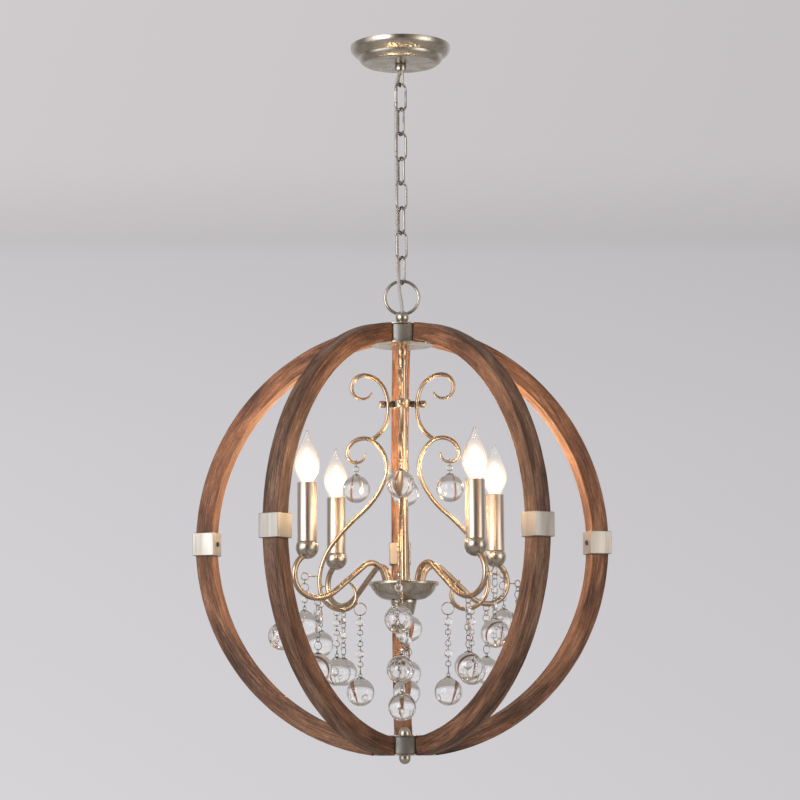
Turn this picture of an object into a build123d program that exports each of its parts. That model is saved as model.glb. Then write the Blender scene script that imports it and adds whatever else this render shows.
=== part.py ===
from build123d import *
import os
from math import cos, pi, radians, sin, sqrt

# Orb chandelier, hung from a ceiling box.
# Millimetres, +Z up. The origin is the middle of the ceiling plate where it meets the ceiling.
# Azimuth 0 is the front (-Y), and it grows towards +X.
# Everything below the chain is drawn about the middle of the orb, then lowered to where it hangs.

# ---------------------------------------------------------------- driving sizes
# clearances
SEAT = 0.1             # between a part and the hole or socket that it sits in
SLACK = 0.3            # between wires and parts that move on each other
PINCH = 0.02           # between flat faces that are clamped together

# ceiling plate, crossbar and top loop
CANOPY_RADIUS = 70.0
CANOPY_HEIGHT = 26.0
CANOPY_WALL = 1.2
CANOPY_STEP_RADIUS = 59.0
CANOPY_STEP_DEPTH = 15.5
CANOPY_FLOOR_RADIUS = 51.0
BAR_LENGTH = 108.0
BAR_WIDTH = 18.0
BAR_THICKNESS = 2.5
BAR_SLOT_SPACING = 88.9
BAR_SLOT_LENGTH = 12.0
BAR_SLOT_RADIUS = 2.4
THREAD_RADIUS = 5.0    # the M10 tube that holds ceiling plate, hub and dish
THREAD_BORE = 3.4
LOCK_NUT_WIDTH = 16.0
LOCK_NUT_HEIGHT = 3.5
LOOP_COLLAR_RADIUS = 8.2
LOOP_COLLAR_HEIGHT = 9.5
LOOP_WIRE = 3.5
LOOP_WIDTH = 15.0
LOOP_LENGTH = 23.3

# chain and flex
LINK_COUNT = 8
LINK_WIRE = 3.2
LINK_LENGTH = 41.8
LINK_WIDTH = 18.5
LINK_TWIST = 28.0
LINK_SLEEVE_RADIUS = 2.9   # the screw sleeve that closes the first link
LINK_SLEEVE_LENGTH = 17.0
RING_DIAMETER = 51.0
RING_WIRE = 4.5
BALL_COLLAR_RADIUS = 9.5
BALL_COLLAR_FLAT = 1.0
RING_RISE = 4.5
WASHER_HEIGHT = 4.0
FLEX_DIAMETER = 5.0

# wooden orb
RIB_COUNT = 5
RIB_AZIMUTH = 37.0     # the rib at the front right
RIB_OUTER_RADIUS = 297.0
RIB_CENTRE_OFFSET = 3.0
RIB_DEPTH = 25.0
RIB_WIDTH = 25.0
RIB_EDGE = 1.2
CLAMP_HEIGHT = 32.0
CLAMP_WALL = 3.2
SCREW_RADIUS = 1.5
SCREW_LENGTH = 18.0
SCREW_HEAD_RADIUS = 3.4
SCREW_HEAD_HEIGHT = 1.6
HUB_RADIUS = 40.0
HUB_WALL = 2.0
DISC_RADIUS = 43.0
DISC_THICKNESS = 2.0
FINIAL_RADIUS = 8.0
FINIAL_SKIRT_HEIGHT = 3.5
FINIAL_STUD_RADIUS = 3.0
CAP_NUT_RADIUS = 8.0

# stem, collar and dish
STEM_RADIUS = 5.6
STEM_BORE = 4.4
COUPLER_RADIUS = 7.2
COUPLER_HEIGHT = 14.0
REDUCER_RADIUS = 6.6
REDUCER_HEIGHT = 14.0
SCROLL_COLLAR_Z = 186.0
SCROLL_COLLAR_RADIUS = 12.0
SCROLL_COLLAR_HEIGHT = 12.0
BOLT_RADIUS = 1.6
BOLT_HEAD_RADIUS = 5.0
BOLT_HEAD_HEIGHT = 8.0
SPACER_RADIUS = 4.4
BEND_GAP = 0.4         # a flat washer stands this far off the hollow side of a bent rod
DISH_RIM_Z = -59.0
DISH_RADIUS = 48.0
DISH_RIM_HEIGHT = 5.0
DISH_DEPTH = 24.5
DISH_WALL = 1.6
DISH_FLOOR_RADIUS = 21.0
DISH_CAP_RADIUS = 18.0
DISH_CAP_FOOT_RADIUS = 13.5
DISH_CAP_HEIGHT = 20.0

# bent rods: start point (radius, height), first heading in degrees, then (radius, turn) of each arc
BRANCH_COUNT = 4
SCROLL_AZIMUTH = -3.0
ARM_AZIMUTH = 36.5
ROD_DIAMETER = 6.0
UPPER_CURL_START = (42.7, 202.0)
UPPER_CURL_HEADING = -65.2
UPPER_CURL_ARCS = [(14.2, 119.1), (17.2, 135.1), (33.6, 59.8), (68.9, 34.4), (42.5, 45.5)]
LOWER_CURL_START = (51.6, 117.9)
LOWER_CURL_HEADING = -89.2
LOWER_CURL_ARCS = [(12.8, 192.8), (23.6, 114.6), (45.5, 72.8), (114.3, 28.0)]
TAIL_ARCS = [(300.2, -11.3), (88.6, -29.8), (66.0, -22.0), (30.5, -75.9), (19.0, -90.0), (22.0, -60.0)]
ARM_DIAMETER = 8.0
ARM_START = (31.9, -78.0)
ARM_HEADING = 104.5
ARM_ARCS = [(46.5, -38.6), (21.1, -102.6)]
ARM_STRAIGHT = 57.9
ARM_END_ARCS = [(55.7, 34.0), (40.2, 39.8), (28.1, 112.0)]

# candles
CANDLE_RADIUS = 160.0  # from the stem to each candle
CUP_RADIUS = 15.5
CUP_CENTRE_Z = -18.0
CUP_TOP_Z = -10.0
SLEEVE_RADIUS = 13.25
SLEEVE_WALL = 1.2
SLEEVE_HEIGHT = 79.0
SOCKET_RADIUS = 11.6
SOCKET_BORE = 7.2
SOCKET_DEPTH = 24.0
SOCKET_HEIGHT = 73.0
BULB_RADIUS = 17.6
BULB_HEIGHT = 71.0
BULB_WALL = 1.0
BULB_NECK_RADIUS = 8.6
BULB_BASE_RADIUS = 6.9
BULB_BASE_HEIGHT = 20.0

# crystal drops
BALL_RADIUS = 19.0
CAP_LOOP = 5.4
CAP_RADIUS = 6.2
CAP_TOP_RADIUS = 2.6
CAP_HEIGHT = 3.2
CAP_OVERLAP = 1.4      # how far the cap's skirt reaches down over the ball
BEAD_WIDTH = 11.5
BEAD_THICKNESS = 5.0
BEAD_TABLE = 6.3       # across the flat in the middle of each side
BEAD_EDGE = 1.8        # thickness at the rim
BEAD_HOLE_RADIUS = 1.2
BEAD_HOLE_PLAY = 0.55  # between a ring's wire and the far side of the hole
BEAD_HOLE_EDGE = 2.0   # from the bead's edge to the middle of its hole
SMALL_RING = 8.4
LARGE_RING = 12.4
STRAND_WIRE = 1.0
STRAND_SLACK = 0.2
HOOK_DIAMETER = 11.4
HOOK_WIRE = 1.6
EYE_WIRE = 1.4
END_HOOK_DIAMETER = 18.2
TOP_RING = 11.2
TOP_RING_WIRE = 1.2
EYE_LINE_Z = -104.0    # the hook and the eye on a scroll's tail end on one level line
ARM_EYE_Z = -95.0
INNER_EYE_R = 60.0
MIDDLE_EYE_R = 92.0
ARM_EYE_R = 143.0
SCROLL_TIP_HOOK = (136.0, -50.0)
ARM_TIP_HOOK = (200.0, -55.0)
TOP_DROP_R = 64.4
# r is a small ring, R a large ring and b an octagonal bead, from the top down
INNER_STRAND = "rbrrbrrbrrR"
FRONT_INNER_STRAND = "rbrrbrrbrrbrrR"
MIDDLE_STRAND = "rbrrbrR"
SCROLL_TIP_STRAND = "rRbrr"
ARM_STRAND = "rbrrbrrR"
ARM_TIP_STRAND = "rRbrrbr"

# ---------------------------------------------------------------- sizes that follow
# heights about the middle of the orb
hub_top = sqrt(RIB_OUTER_RADIUS**2 - (DISC_RADIUS - RIB_CENTRE_OFFSET) ** 2)
hub_low = hub_top - DISC_THICKNESS
rib_inner_radius = RIB_OUTER_RADIUS - RIB_DEPTH
drum_bottom = sqrt(rib_inner_radius**2 - (DISC_RADIUS - RIB_CENTRE_OFFSET) ** 2)
disc_bottom = drum_bottom - DISC_THICKNESS
collar_centre = hub_top + WASHER_HEIGHT + BALL_COLLAR_RADIUS - BALL_COLLAR_FLAT
ring_radius = (RING_DIAMETER - RING_WIRE) / 2
ring_centre = collar_centre + RING_RISE + ring_radius
ring_top_wire = ring_centre + ring_radius

link_half_length = (LINK_LENGTH - LINK_WIRE) / 2
link_half_width = (LINK_WIDTH - LINK_WIRE) / 2
link_pitch = 2 * link_half_length - LINK_WIRE - SLACK
last_link_wire = ring_top_wire - (RING_WIRE + LINK_WIRE) / 2 - SLACK
first_link_wire = last_link_wire + (LINK_COUNT - 1) * link_pitch + 2 * link_half_length
loop_wire_z = first_link_wire - (LINK_WIRE + LOOP_WIRE) / 2 - SLACK
loop_top = loop_wire_z + LOOP_LENGTH - LOOP_WIRE / 2
orb_drop = loop_top + LOOP_COLLAR_HEIGHT + CANOPY_HEIGHT
candle_top = CUP_TOP_Z + SLEEVE_HEIGHT
bead_hole_reach = BEAD_WIDTH / 2 - BEAD_HOLE_EDGE


# ---------------------------------------------------------------- helpers
def turned(shape, azimuth):
    """A shape drawn with +X as its radius, turned to an azimuth."""
    return Rot(0, 0, azimuth - 90) * shape


def hung(shape):
    """A shape drawn about the middle of the orb, lowered to where the orb hangs."""
    return Pos(0, 0, -orb_drop) * shape


def branch_azimuths(first):
    """Azimuths of the four scrolls, or of the four arms."""
    return [first + 360 / BRANCH_COUNT * k for k in range(BRANCH_COUNT)]


def save(name, solids):
    shape = solids[0] if len(solids) == 1 else Compound(solids)
    export_step(shape, f"parts/{name}.step")


def spin(outline):
    """A closed outline of (radius, height) points turned about Z."""
    return revolve(Plane.XZ * make_face(Polyline(outline, close=True)), Axis.Z)


def tube(outer, inner, low, high):
    body = Pos(0, 0, (low + high) / 2) * Cylinder(outer, high - low)
    return body - Pos(0, 0, (low + high) / 2) * Cylinder(inner, high - low + 2)


def rod_between(start, end, radius):
    line = Line(start, end)
    return sweep(Plane(origin=start, z_dir=line % 0) * Circle(radius), path=line)


def ring_in_xz(centre, radius, wire):
    """A wire ring standing in the XZ plane."""
    return Pos(*centre) * Rot(90, 0, 0) * Torus(radius, wire / 2)


def ring_in_yz(centre, radius, wire):
    """A wire ring standing across the radius."""
    return Pos(*centre) * Rot(0, 90, 0) * Torus(radius, wire / 2)


def walk_arcs(start, heading, arcs):
    """Edges of tangent arcs in the XZ plane, with the end point and the end heading."""
    edges = []
    x, z = start
    angle = heading
    for radius, turn in arcs:
        side = 1 if turn > 0 else -1
        to_centre = radians(angle + 90 * side)
        cx = x + radius * cos(to_centre)
        cz = z + radius * sin(to_centre)
        points = []
        for share in (0.5, 1.0):
            out = radians(angle - 90 * side + turn * share)
            points.append((cx + radius * cos(out), 0, cz + radius * sin(out)))
        edges.append(ThreePointArc((x, 0, z), points[0], points[1]))
        x, z = points[1][0], points[1][2]
        angle += turn
    return edges, (x, z), angle


def along(edges):
    """Closely spaced (radius, height) points of a rod's axis, for finding where it passes."""
    points = []
    for edge in edges:
        points += [edge @ (step / 200) for step in range(201)]
    return [(p.X, p.Z) for p in points]


def lowest_at(edges, radius):
    """Lowest height of a rod's axis at a radius."""
    return min(z for r, z in along(edges) if abs(r - radius) < 0.4)


def outermost_at(edges, height):
    """Largest radius of a rod's axis at a height."""
    return max(r for r, z in along(edges) if abs(z - height) < 0.4)


def bent_rod(edges, start, heading, diameter):
    """A round rod swept along edges in the XZ plane."""
    ahead = Vector(cos(radians(heading)), 0, sin(radians(heading)))
    section = Plane(origin=(start[0], 0, start[1]), z_dir=ahead) * Circle(diameter / 2)
    return sweep(section, path=Wire(edges))


# ---------------------------------------------------------------- ceiling plate
def make_crossbar():
    bar = Pos(0, 0, -BAR_THICKNESS / 2) * Box(BAR_LENGTH, BAR_WIDTH, BAR_THICKNESS)
    bar -= Pos(0, 0, -BAR_THICKNESS / 2) * Cylinder(THREAD_RADIUS + SEAT, BAR_THICKNESS * 2)
    for side in (-1, 1):
        slot = extrude(SlotOverall(BAR_SLOT_LENGTH, 2 * BAR_SLOT_RADIUS), BAR_THICKNESS * 2, both=True)
        bar -= Pos(side * BAR_SLOT_SPACING / 2, 0, 0) * slot
    return [bar]


def canopy_outline(inset):
    """Half outline of the ceiling plate: bulging rim, step, second band and flat floor."""
    rim = Line((CANOPY_RADIUS - inset, 0), (CANOPY_RADIUS - inset, -2.0))
    bulge = ThreePointArc(
        (CANOPY_RADIUS - inset, -2.0),
        (CANOPY_RADIUS - 2.2 - inset, -CANOPY_STEP_DEPTH * 0.6),
        (CANOPY_STEP_RADIUS + 1.5 - inset, -CANOPY_STEP_DEPTH),
    )
    step = Line(bulge @ 1, (CANOPY_STEP_RADIUS - inset, -CANOPY_STEP_DEPTH - 0.6))
    band = ThreePointArc(
        step @ 1,
        (CANOPY_STEP_RADIUS - 2.6 - inset, -CANOPY_HEIGHT + 3.6 + inset),
        (CANOPY_FLOOR_RADIUS - inset, -CANOPY_HEIGHT + inset),
    )
    floor = Line(band @ 1, (0, -CANOPY_HEIGHT + inset))
    axis = Line(floor @ 1, (0, 0))
    lid = Line((0, 0), rim @ 0)
    return make_face(Wire([rim, bulge, step, band, floor, axis, lid]))


def make_canopy():
    outer = revolve(Plane.XZ * canopy_outline(0), Axis.Z)
    inner = revolve(Plane.XZ * canopy_outline(CANOPY_WALL), Axis.Z)
    hole = Pos(0, 0, -CANOPY_HEIGHT) * Cylinder(THREAD_RADIUS + SEAT, CANOPY_HEIGHT)
    return [outer - inner - hole]


def make_canopy_loop():
    """A U of thick wire under a collar, with a hollow threaded shank up to the crossbar."""
    collar_top = -CANOPY_HEIGHT - PINCH
    collar_low = -CANOPY_HEIGHT - LOOP_COLLAR_HEIGHT
    leg_x = (LOOP_WIDTH - LOOP_WIRE) / 2
    loop = Pos(0, 0, (collar_top + collar_low) / 2) * Cylinder(LOOP_COLLAR_RADIUS, collar_top - collar_low)
    shank_top = -0.2
    loop += Pos(0, 0, (shank_top + collar_low) / 2) * Cylinder(THREAD_RADIUS, shank_top - collar_low)
    bend_z = collar_low - LOOP_LENGTH + LOOP_WIDTH / 2
    leg_height = collar_low + 1 - bend_z
    for side in (-1, 1):
        leg = Pos(side * leg_x, 0, bend_z + leg_height / 2) * Cylinder(LOOP_WIRE / 2, leg_height)
        loop += leg
    bend = ring_in_xz((0, 0, bend_z), leg_x, LOOP_WIRE)
    loop += bend & Pos(0, 0, bend_z - LOOP_WIDTH) * Box(4 * LOOP_WIDTH, 4 * LOOP_WIRE, 2 * LOOP_WIDTH)
    bore = Pos(0, 0, collar_low + 50) * Cylinder(THREAD_BORE, 100)
    return [Rot(0, 0, link_angle(0)) * (loop - bore)]


def lock_nut(low):
    nut = Pos(0, 0, low) * extrude(RegularPolygon(LOCK_NUT_WIDTH / 2, 6, major_radius=False), LOCK_NUT_HEIGHT)
    return nut - Pos(0, 0, low) * Cylinder(THREAD_RADIUS + SEAT, 4 * LOCK_NUT_HEIGHT)


def make_lock_nuts():
    """Two nuts inside the top hub that clamp its discs."""
    under_disc = lock_nut(hub_low - LOCK_NUT_HEIGHT - PINCH)
    over_disc = lock_nut(drum_bottom + PINCH)
    return [hung(under_disc), hung(over_disc)]


# ---------------------------------------------------------------- chain
def link_top_wire(number):
    """Height of the upper wire of a link, counted from 1 at the ceiling."""
    return first_link_wire - (number - 1) * link_pitch


def link_angle(number):
    return LINK_TWIST + 90 * (number - 1)


def make_link(number):
    leg = link_half_length - link_half_width
    link = ring_in_xz((0, 0, leg), link_half_width, LINK_WIRE) & Pos(0, 0, leg + 50) * Box(100, 100, 100)
    link += ring_in_xz((0, 0, -leg), link_half_width, LINK_WIRE) & Pos(0, 0, -leg - 50) * Box(100, 100, 100)
    for side in (-1, 1):
        link += Pos(side * link_half_width, 0, 0) * Cylinder(LINK_WIRE / 2, 2 * leg)
    solids = [link]
    if number == 1:
        sleeve = tube(LINK_SLEEVE_RADIUS, LINK_WIRE / 2 + SEAT, -LINK_SLEEVE_LENGTH / 2, LINK_SLEEVE_LENGTH / 2)
        solids.append(Pos(-link_half_width, 0, 0) * sleeve)
    middle = link_top_wire(number) - link_half_length
    return [hung(Pos(0, 0, middle) * Rot(0, 0, link_angle(number)) * s) for s in solids]


def chain_corner(off_link, off_loop):
    """A point beside the chain: its distances from the first link's plane and from the loop's."""
    along_link = radians(link_angle(1) + 180)
    along_loop = radians(link_angle(2))
    x = off_loop * cos(along_link) + off_link * cos(along_loop)
    y = off_loop * sin(along_link) + off_link * sin(along_loop)
    return x, y


def flex_points():
    """Route of the flex: out of the collar, down one corner of the chain, past the ring to the ball.

    It leaves the top loop beside it, runs in a corner of the crossed links, and comes round to the
    front of the ring, where it goes into the ball.
    """
    beside = (LINK_WIRE + FLEX_DIAMETER) / 2 + SLACK + 0.2
    before = -(RING_WIRE + FLEX_DIAMETER) / 2 - SLACK - 0.1
    low_seven = link_top_wire(LINK_COUNT) - 1.5 * LINK_WIRE - SLACK
    ball_z = collar_centre + flex_seat_height() + SEAT
    beside_loop = (LOOP_WIRE + FLEX_DIAMETER) / 2 + SLACK + 0.2
    route = [
        (0, 0, loop_top + 6.0),
        (0, 0, loop_top - 1.5),
        chain_corner(1.3, 3.4) + (loop_top - 9.5,),
        chain_corner(beside, beside_loop) + (loop_top - 15.5,),
        chain_corner(beside + 0.2, beside + 0.5) + (loop_top - 44.0,),
        chain_corner(beside + 0.6, beside + 0.1) + ((loop_top + low_seven) / 2,),
        chain_corner(beside + 0.1, beside + 0.4) + (low_seven - 1.5,),
        (-5.0, before - 0.8, ring_top_wire + 4.0),
        (-3.0, before - 0.6, ring_centre + 4.0),
        (0, before, collar_centre + 16.0),
        (0, before, ball_z),
    ]
    return route


def flex_seat_height():
    """Height over the ball's middle of the floor of the hole that takes the flex."""
    return 1.5


def make_flex():
    points = [Vector(*p) for p in flex_points()]
    radii = []
    for before, here, after in zip(points, points[1:], points[2:]):
        first = here - before
        second = after - here
        turn = radians(first.get_angle(second))
        shorter = min(first.length, second.length)
        radii.append(0.45 * shorter * cos(turn / 2) / sin(turn / 2))
    print("flex radii", [round(r) for r in radii])
    path = FilletPolyline(*points, radius=radii)
    start = points[0]
    solid = sweep(Plane(origin=start, z_dir=points[1] - start) * Circle(FLEX_DIAMETER / 2), path=path)
    whole = path.length * pi * FLEX_DIAMETER**2 / 4
    print("flex length", round(path.length, 1), "volume share", round(solid.volume / whole, 4))
    return [hung(solid)]


def make_orb_ring():
    return [hung(ring_in_xz((0, 0, ring_centre), ring_radius, RING_WIRE))]


def make_ball_collar():
    """A turned ball on a washer, with the ring brazed through it and a blind hole for the flex."""
    washer_z = hub_top + PINCH
    ball = Pos(0, 0, collar_centre) * Sphere(BALL_COLLAR_RADIUS)
    ball &= Pos(0, 0, washer_z + WASHER_HEIGHT / 2 + 50) * Box(100, 100, 100)
    washer = Pos(0, 0, washer_z + WASHER_HEIGHT / 2) * Cylinder(BALL_COLLAR_RADIUS, WASHER_HEIGHT)
    body = ball + washer
    body -= ring_in_xz((0, 0, ring_centre), ring_radius, RING_WIRE + 2 * SEAT)
    body -= Pos(0, 0, hub_top) * Cylinder(THREAD_RADIUS + SEAT, 2 * WASHER_HEIGHT + 2)
    flex_y = flex_points()[-1][1]
    hole_low = collar_centre + flex_seat_height()
    hole = Pos(0, flex_y, hole_low + 20) * Cylinder(FLEX_DIAMETER / 2 + SEAT, 40)
    return [hung(body - hole)]


# ---------------------------------------------------------------- wooden orb
def both_ends(shape):
    """A shape of the top hub and its mirror image at the bottom hub."""
    return [shape, mirror(shape, about=Plane.XY)]


def make_hub_discs():
    hole = THREAD_RADIUS + SEAT
    solids = []
    for low in (hub_low, disc_bottom):
        solids += both_ends(tube(DISC_RADIUS, hole, low, low + DISC_THICKNESS))
    return [hung(s) for s in solids]


def rib_azimuths():
    return [RIB_AZIMUTH + 360 / RIB_COUNT * k for k in range(RIB_COUNT)]


def wood_screw(seat_radius):
    """A pan-head screw along +X, its head's underside at the given radius."""
    head = Pos(seat_radius - SCREW_HEAD_HEIGHT / 2, 0, 0) * Rot(0, 90, 0)
    shank = Pos(seat_radius + SCREW_LENGTH / 2, 0, 0) * Rot(0, 90, 0)
    solid = head * Cylinder(SCREW_HEAD_RADIUS, SCREW_HEAD_HEIGHT)
    return solid + shank * Cylinder(SCREW_RADIUS, SCREW_LENGTH)


def screw_hole(low, high):
    return Pos((low + high) / 2, 0, 0) * Rot(0, 90, 0) * Cylinder(SCREW_RADIUS + SEAT / 2, high - low)


def hub_screw_z():
    return (hub_low + drum_bottom) / 2


def hub_screw_seat():
    return sqrt((HUB_RADIUS - HUB_WALL) ** 2 - SCREW_HEAD_RADIUS**2) - SEAT


def rib_inside():
    return RIB_CENTRE_OFFSET + rib_inner_radius


def clamp_inside():
    return rib_inside() - CLAMP_WALL


def make_hub_drums():
    drum = tube(HUB_RADIUS, HUB_RADIUS - HUB_WALL, drum_bottom + PINCH, hub_low - PINCH)
    for azimuth in rib_azimuths():
        drum -= Pos(0, 0, hub_screw_z()) * turned(screw_hole(HUB_RADIUS / 2, 2 * HUB_RADIUS), azimuth)
    return [hung(s) for s in both_ends(drum)]


def rib_bar(grow):
    """The bent bar of one rib in the XZ plane, grown all round by a clearance."""
    outer = RIB_OUTER_RADIUS + grow
    inner = rib_inner_radius - grow
    bar = Rot(90, 0, 0) * (Cylinder(outer, RIB_WIDTH + 2 * grow) - Cylinder(inner, 2 * RIB_WIDTH))
    return Pos(RIB_CENTRE_OFFSET, 0, 0) * bar


def make_rib(azimuth):
    reach = 2 * RIB_OUTER_RADIUS
    bar = rib_bar(0) & Pos(reach / 2, 0, 0) * Box(reach, reach, 2 * reach)
    long_edges = [e for e in bar.edges() if e.geom_type == GeomType.CIRCLE]
    bar = chamfer(long_edges, RIB_EDGE)
    bar -= Cylinder(HUB_RADIUS + SEAT, 3 * reach)
    for side in (-1, 1):
        lid = DISC_RADIUS + SEAT
        bar -= Pos(0, 0, side * (hub_low - PINCH + 25)) * Cylinder(lid, 50)
        bar -= Pos(0, 0, side * hub_screw_z()) * screw_hole(HUB_RADIUS / 2, HUB_RADIUS + SCREW_LENGTH)
    bar -= screw_hole(clamp_inside(), clamp_inside() + SCREW_LENGTH + 1)
    return [hung(turned(bar, azimuth))]


def make_clamps():
    """Square collars that close round each rib at the widest point of the orb."""
    middle = rib_inside() + RIB_DEPTH / 2
    size = RIB_DEPTH + 2 * CLAMP_WALL
    width = RIB_WIDTH + 2 * CLAMP_WALL
    collar = Pos(middle, 0, 0) * Box(size, width, CLAMP_HEIGHT) - rib_bar(SEAT)
    collar = max(collar.solids(), key=lambda s: s.volume) if len(collar.solids()) > 1 else collar
    collar -= screw_hole(clamp_inside() - 1, rib_inside() + 1)
    return [hung(turned(collar, a)) for a in rib_azimuths()]


def make_wood_screws():
    solids = []
    for azimuth in rib_azimuths():
        solids.append(turned(wood_screw(clamp_inside() - PINCH), azimuth))
        at_hub = turned(wood_screw(hub_screw_seat()), azimuth)
        solids.append(Pos(0, 0, hub_screw_z()) * at_hub)
        solids.append(Pos(0, 0, -hub_screw_z()) * at_hub)
    return [hung(s) for s in solids]


def make_bottom_finial():
    """A domed nut under the bottom hub, with a stud that goes up through it."""
    flange_top = -hub_top - PINCH
    skirt_low = flange_top - FINIAL_SKIRT_HEIGHT
    body = Pos(0, 0, flange_top - FINIAL_SKIRT_HEIGHT / 2) * Cylinder(FINIAL_RADIUS, FINIAL_SKIRT_HEIGHT)
    body += Pos(0, 0, skirt_low) * Sphere(FINIAL_RADIUS) & Pos(0, 0, skirt_low - 50) * Box(100, 100, 100)
    stud_top = -disc_bottom + CAP_NUT_RADIUS
    stud_height = stud_top - flange_top
    body += Pos(0, 0, flange_top + stud_height / 2) * Cylinder(FINIAL_STUD_RADIUS, stud_height)
    return [hung(body)]


def make_bottom_cap_nut():
    """A domed nut on top of the bottom hub's inner disc."""
    seat = -disc_bottom + PINCH
    skirt = 3.0
    body = Pos(0, 0, seat + skirt / 2) * Cylinder(CAP_NUT_RADIUS, skirt)
    dome = Pos(0, 0, seat + skirt) * Sphere(CAP_NUT_RADIUS)
    body += dome & Pos(0, 0, seat + skirt + 50) * Box(100, 100, 100)
    body -= Pos(0, 0, seat) * Cylinder(FINIAL_STUD_RADIUS + SEAT, 2 * (CAP_NUT_RADIUS + PINCH))
    return [hung(body)]


# ---------------------------------------------------------------- stem and dish
def make_stem():
    """Threaded tube through the top hub, coupler, reducer and the long tube down to the dish."""
    nipple_top = hub_top + WASHER_HEIGHT
    coupler_top = disc_bottom - PINCH
    coupler_low = coupler_top - COUPLER_HEIGHT
    reducer_top = coupler_low - PINCH
    reducer_low = reducer_top - REDUCER_HEIGHT
    nipple_low = reducer_top - REDUCER_HEIGHT / 2
    nipple = tube(THREAD_RADIUS, THREAD_BORE, nipple_low, nipple_top)
    coupler = tube(COUPLER_RADIUS, THREAD_RADIUS + SEAT, coupler_low, coupler_top)
    reducer = tube(REDUCER_RADIUS, THREAD_RADIUS + SEAT, reducer_low, reducer_top)
    stem_low = DISH_RIM_Z - DISH_DEPTH - DISH_CAP_HEIGHT / 2
    stem = tube(STEM_RADIUS, STEM_BORE, stem_low, reducer_low - PINCH)
    return [hung(s) for s in (nipple, coupler, reducer, stem)]


def upper_curl_edges():
    return walk_arcs(UPPER_CURL_START, UPPER_CURL_HEADING, UPPER_CURL_ARCS)[0]


def tail_edges():
    return walk_arcs(LOWER_CURL_START, LOWER_CURL_HEADING, LOWER_CURL_ARCS + TAIL_ARCS)[0]


def scroll_at_collar():
    """Radius of the upper curl's rod axis where it passes the collar."""
    return min(r for r, z in along(upper_curl_edges()) if abs(z - SCROLL_COLLAR_Z) < 0.4)


def top_drop_z():
    """Height of the lower curl's rod axis where a top drop hangs."""
    curl = walk_arcs(LOWER_CURL_START, LOWER_CURL_HEADING, LOWER_CURL_ARCS[:1])[0]
    return lowest_at(curl, TOP_DROP_R)


def make_scroll_collar():
    low = SCROLL_COLLAR_Z - SCROLL_COLLAR_HEIGHT / 2
    collar = tube(SCROLL_COLLAR_RADIUS, STEM_RADIUS + SEAT, low, low + SCROLL_COLLAR_HEIGHT)
    for azimuth in branch_azimuths(SCROLL_AZIMUTH):
        hole = Pos(SCROLL_COLLAR_RADIUS, 0, SCROLL_COLLAR_Z) * Rot(0, 90, 0)
        collar -= turned(hole * Cylinder(BOLT_RADIUS + SEAT, SCROLL_COLLAR_RADIUS), azimuth)
    return [hung(collar)]


def make_scroll_bolts():
    """A bolt with a round head for each scroll, with a spacer on each side of the rod."""
    rod = scroll_at_collar()
    rod_in = rod - ROD_DIAMETER / 2 - SEAT
    rod_out = rod + ROD_DIAMETER / 2 + BEND_GAP
    washer = 1.6
    across = Rot(0, 90, 0)
    solids = []
    for azimuth in branch_azimuths(SCROLL_AZIMUTH):
        inner_width = rod_in - SCROLL_COLLAR_RADIUS - 2 * SEAT
        inner = Pos(SCROLL_COLLAR_RADIUS + SEAT + inner_width / 2, 0, 0) * across * Cylinder(SPACER_RADIUS, inner_width)
        outer = Pos(rod_out + SEAT + washer / 2, 0, 0) * across * Cylinder(SPACER_RADIUS, washer)
        head_low = rod_out + SEAT + washer + PINCH
        head = Pos(head_low + BOLT_HEAD_HEIGHT / 2, 0, 0) * across * Cylinder(BOLT_HEAD_RADIUS, BOLT_HEAD_HEIGHT)
        shank_low = SCROLL_COLLAR_RADIUS - 4
        shank = Pos((shank_low + head_low) / 2, 0, 0) * across * Cylinder(BOLT_RADIUS, head_low - shank_low + 0.01)
        hole = Pos(rod, 0, 0) * across * Cylinder(BOLT_RADIUS + SEAT, 4 * ROD_DIAMETER)
        for solid in (inner - hole, outer - hole, head + shank):
            solids.append(hung(turned(Pos(0, 0, SCROLL_COLLAR_Z) * solid, azimuth)))
    return solids


def dish_outline(inset):
    """Half section of the dish: upright rim, a ledge under it and a rounded bowl."""
    rim_low = DISH_RIM_Z - DISH_RIM_HEIGHT + inset
    floor = DISH_RIM_Z - DISH_DEPTH + inset
    bowl = ThreePointArc(
        (DISH_RADIUS - 3 - inset, rim_low),
        (DISH_RADIUS - 11 - inset * 0.8, (rim_low + floor) / 2 - 2.5),
        (DISH_FLOOR_RADIUS, floor),
    )
    return [
        Line((DISH_RADIUS - inset, DISH_RIM_Z), (DISH_RADIUS - inset, rim_low)),
        Line((DISH_RADIUS - inset, rim_low), (DISH_RADIUS - 3 - inset, rim_low)),
        bowl,
        Line((DISH_FLOOR_RADIUS, floor), (0, floor)),
        Line((0, floor), (0, DISH_RIM_Z)),
        Line((0, DISH_RIM_Z), (DISH_RADIUS - inset, DISH_RIM_Z)),
    ]


def make_dish():
    outer = revolve(Plane.XZ * make_face(Wire(dish_outline(0))), Axis.Z)
    inner = revolve(Plane.XZ * make_face(Wire(dish_outline(DISH_WALL))), Axis.Z)
    hole = Pos(0, 0, DISH_RIM_Z - DISH_DEPTH) * Cylinder(STEM_RADIUS + SEAT, 10)
    dish = outer - inner - hole
    for azimuth in arm_azimuths():
        dish -= turned(arm_rod(ARM_DIAMETER + 2 * SEAT), azimuth)
    return [hung(dish)]


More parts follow.
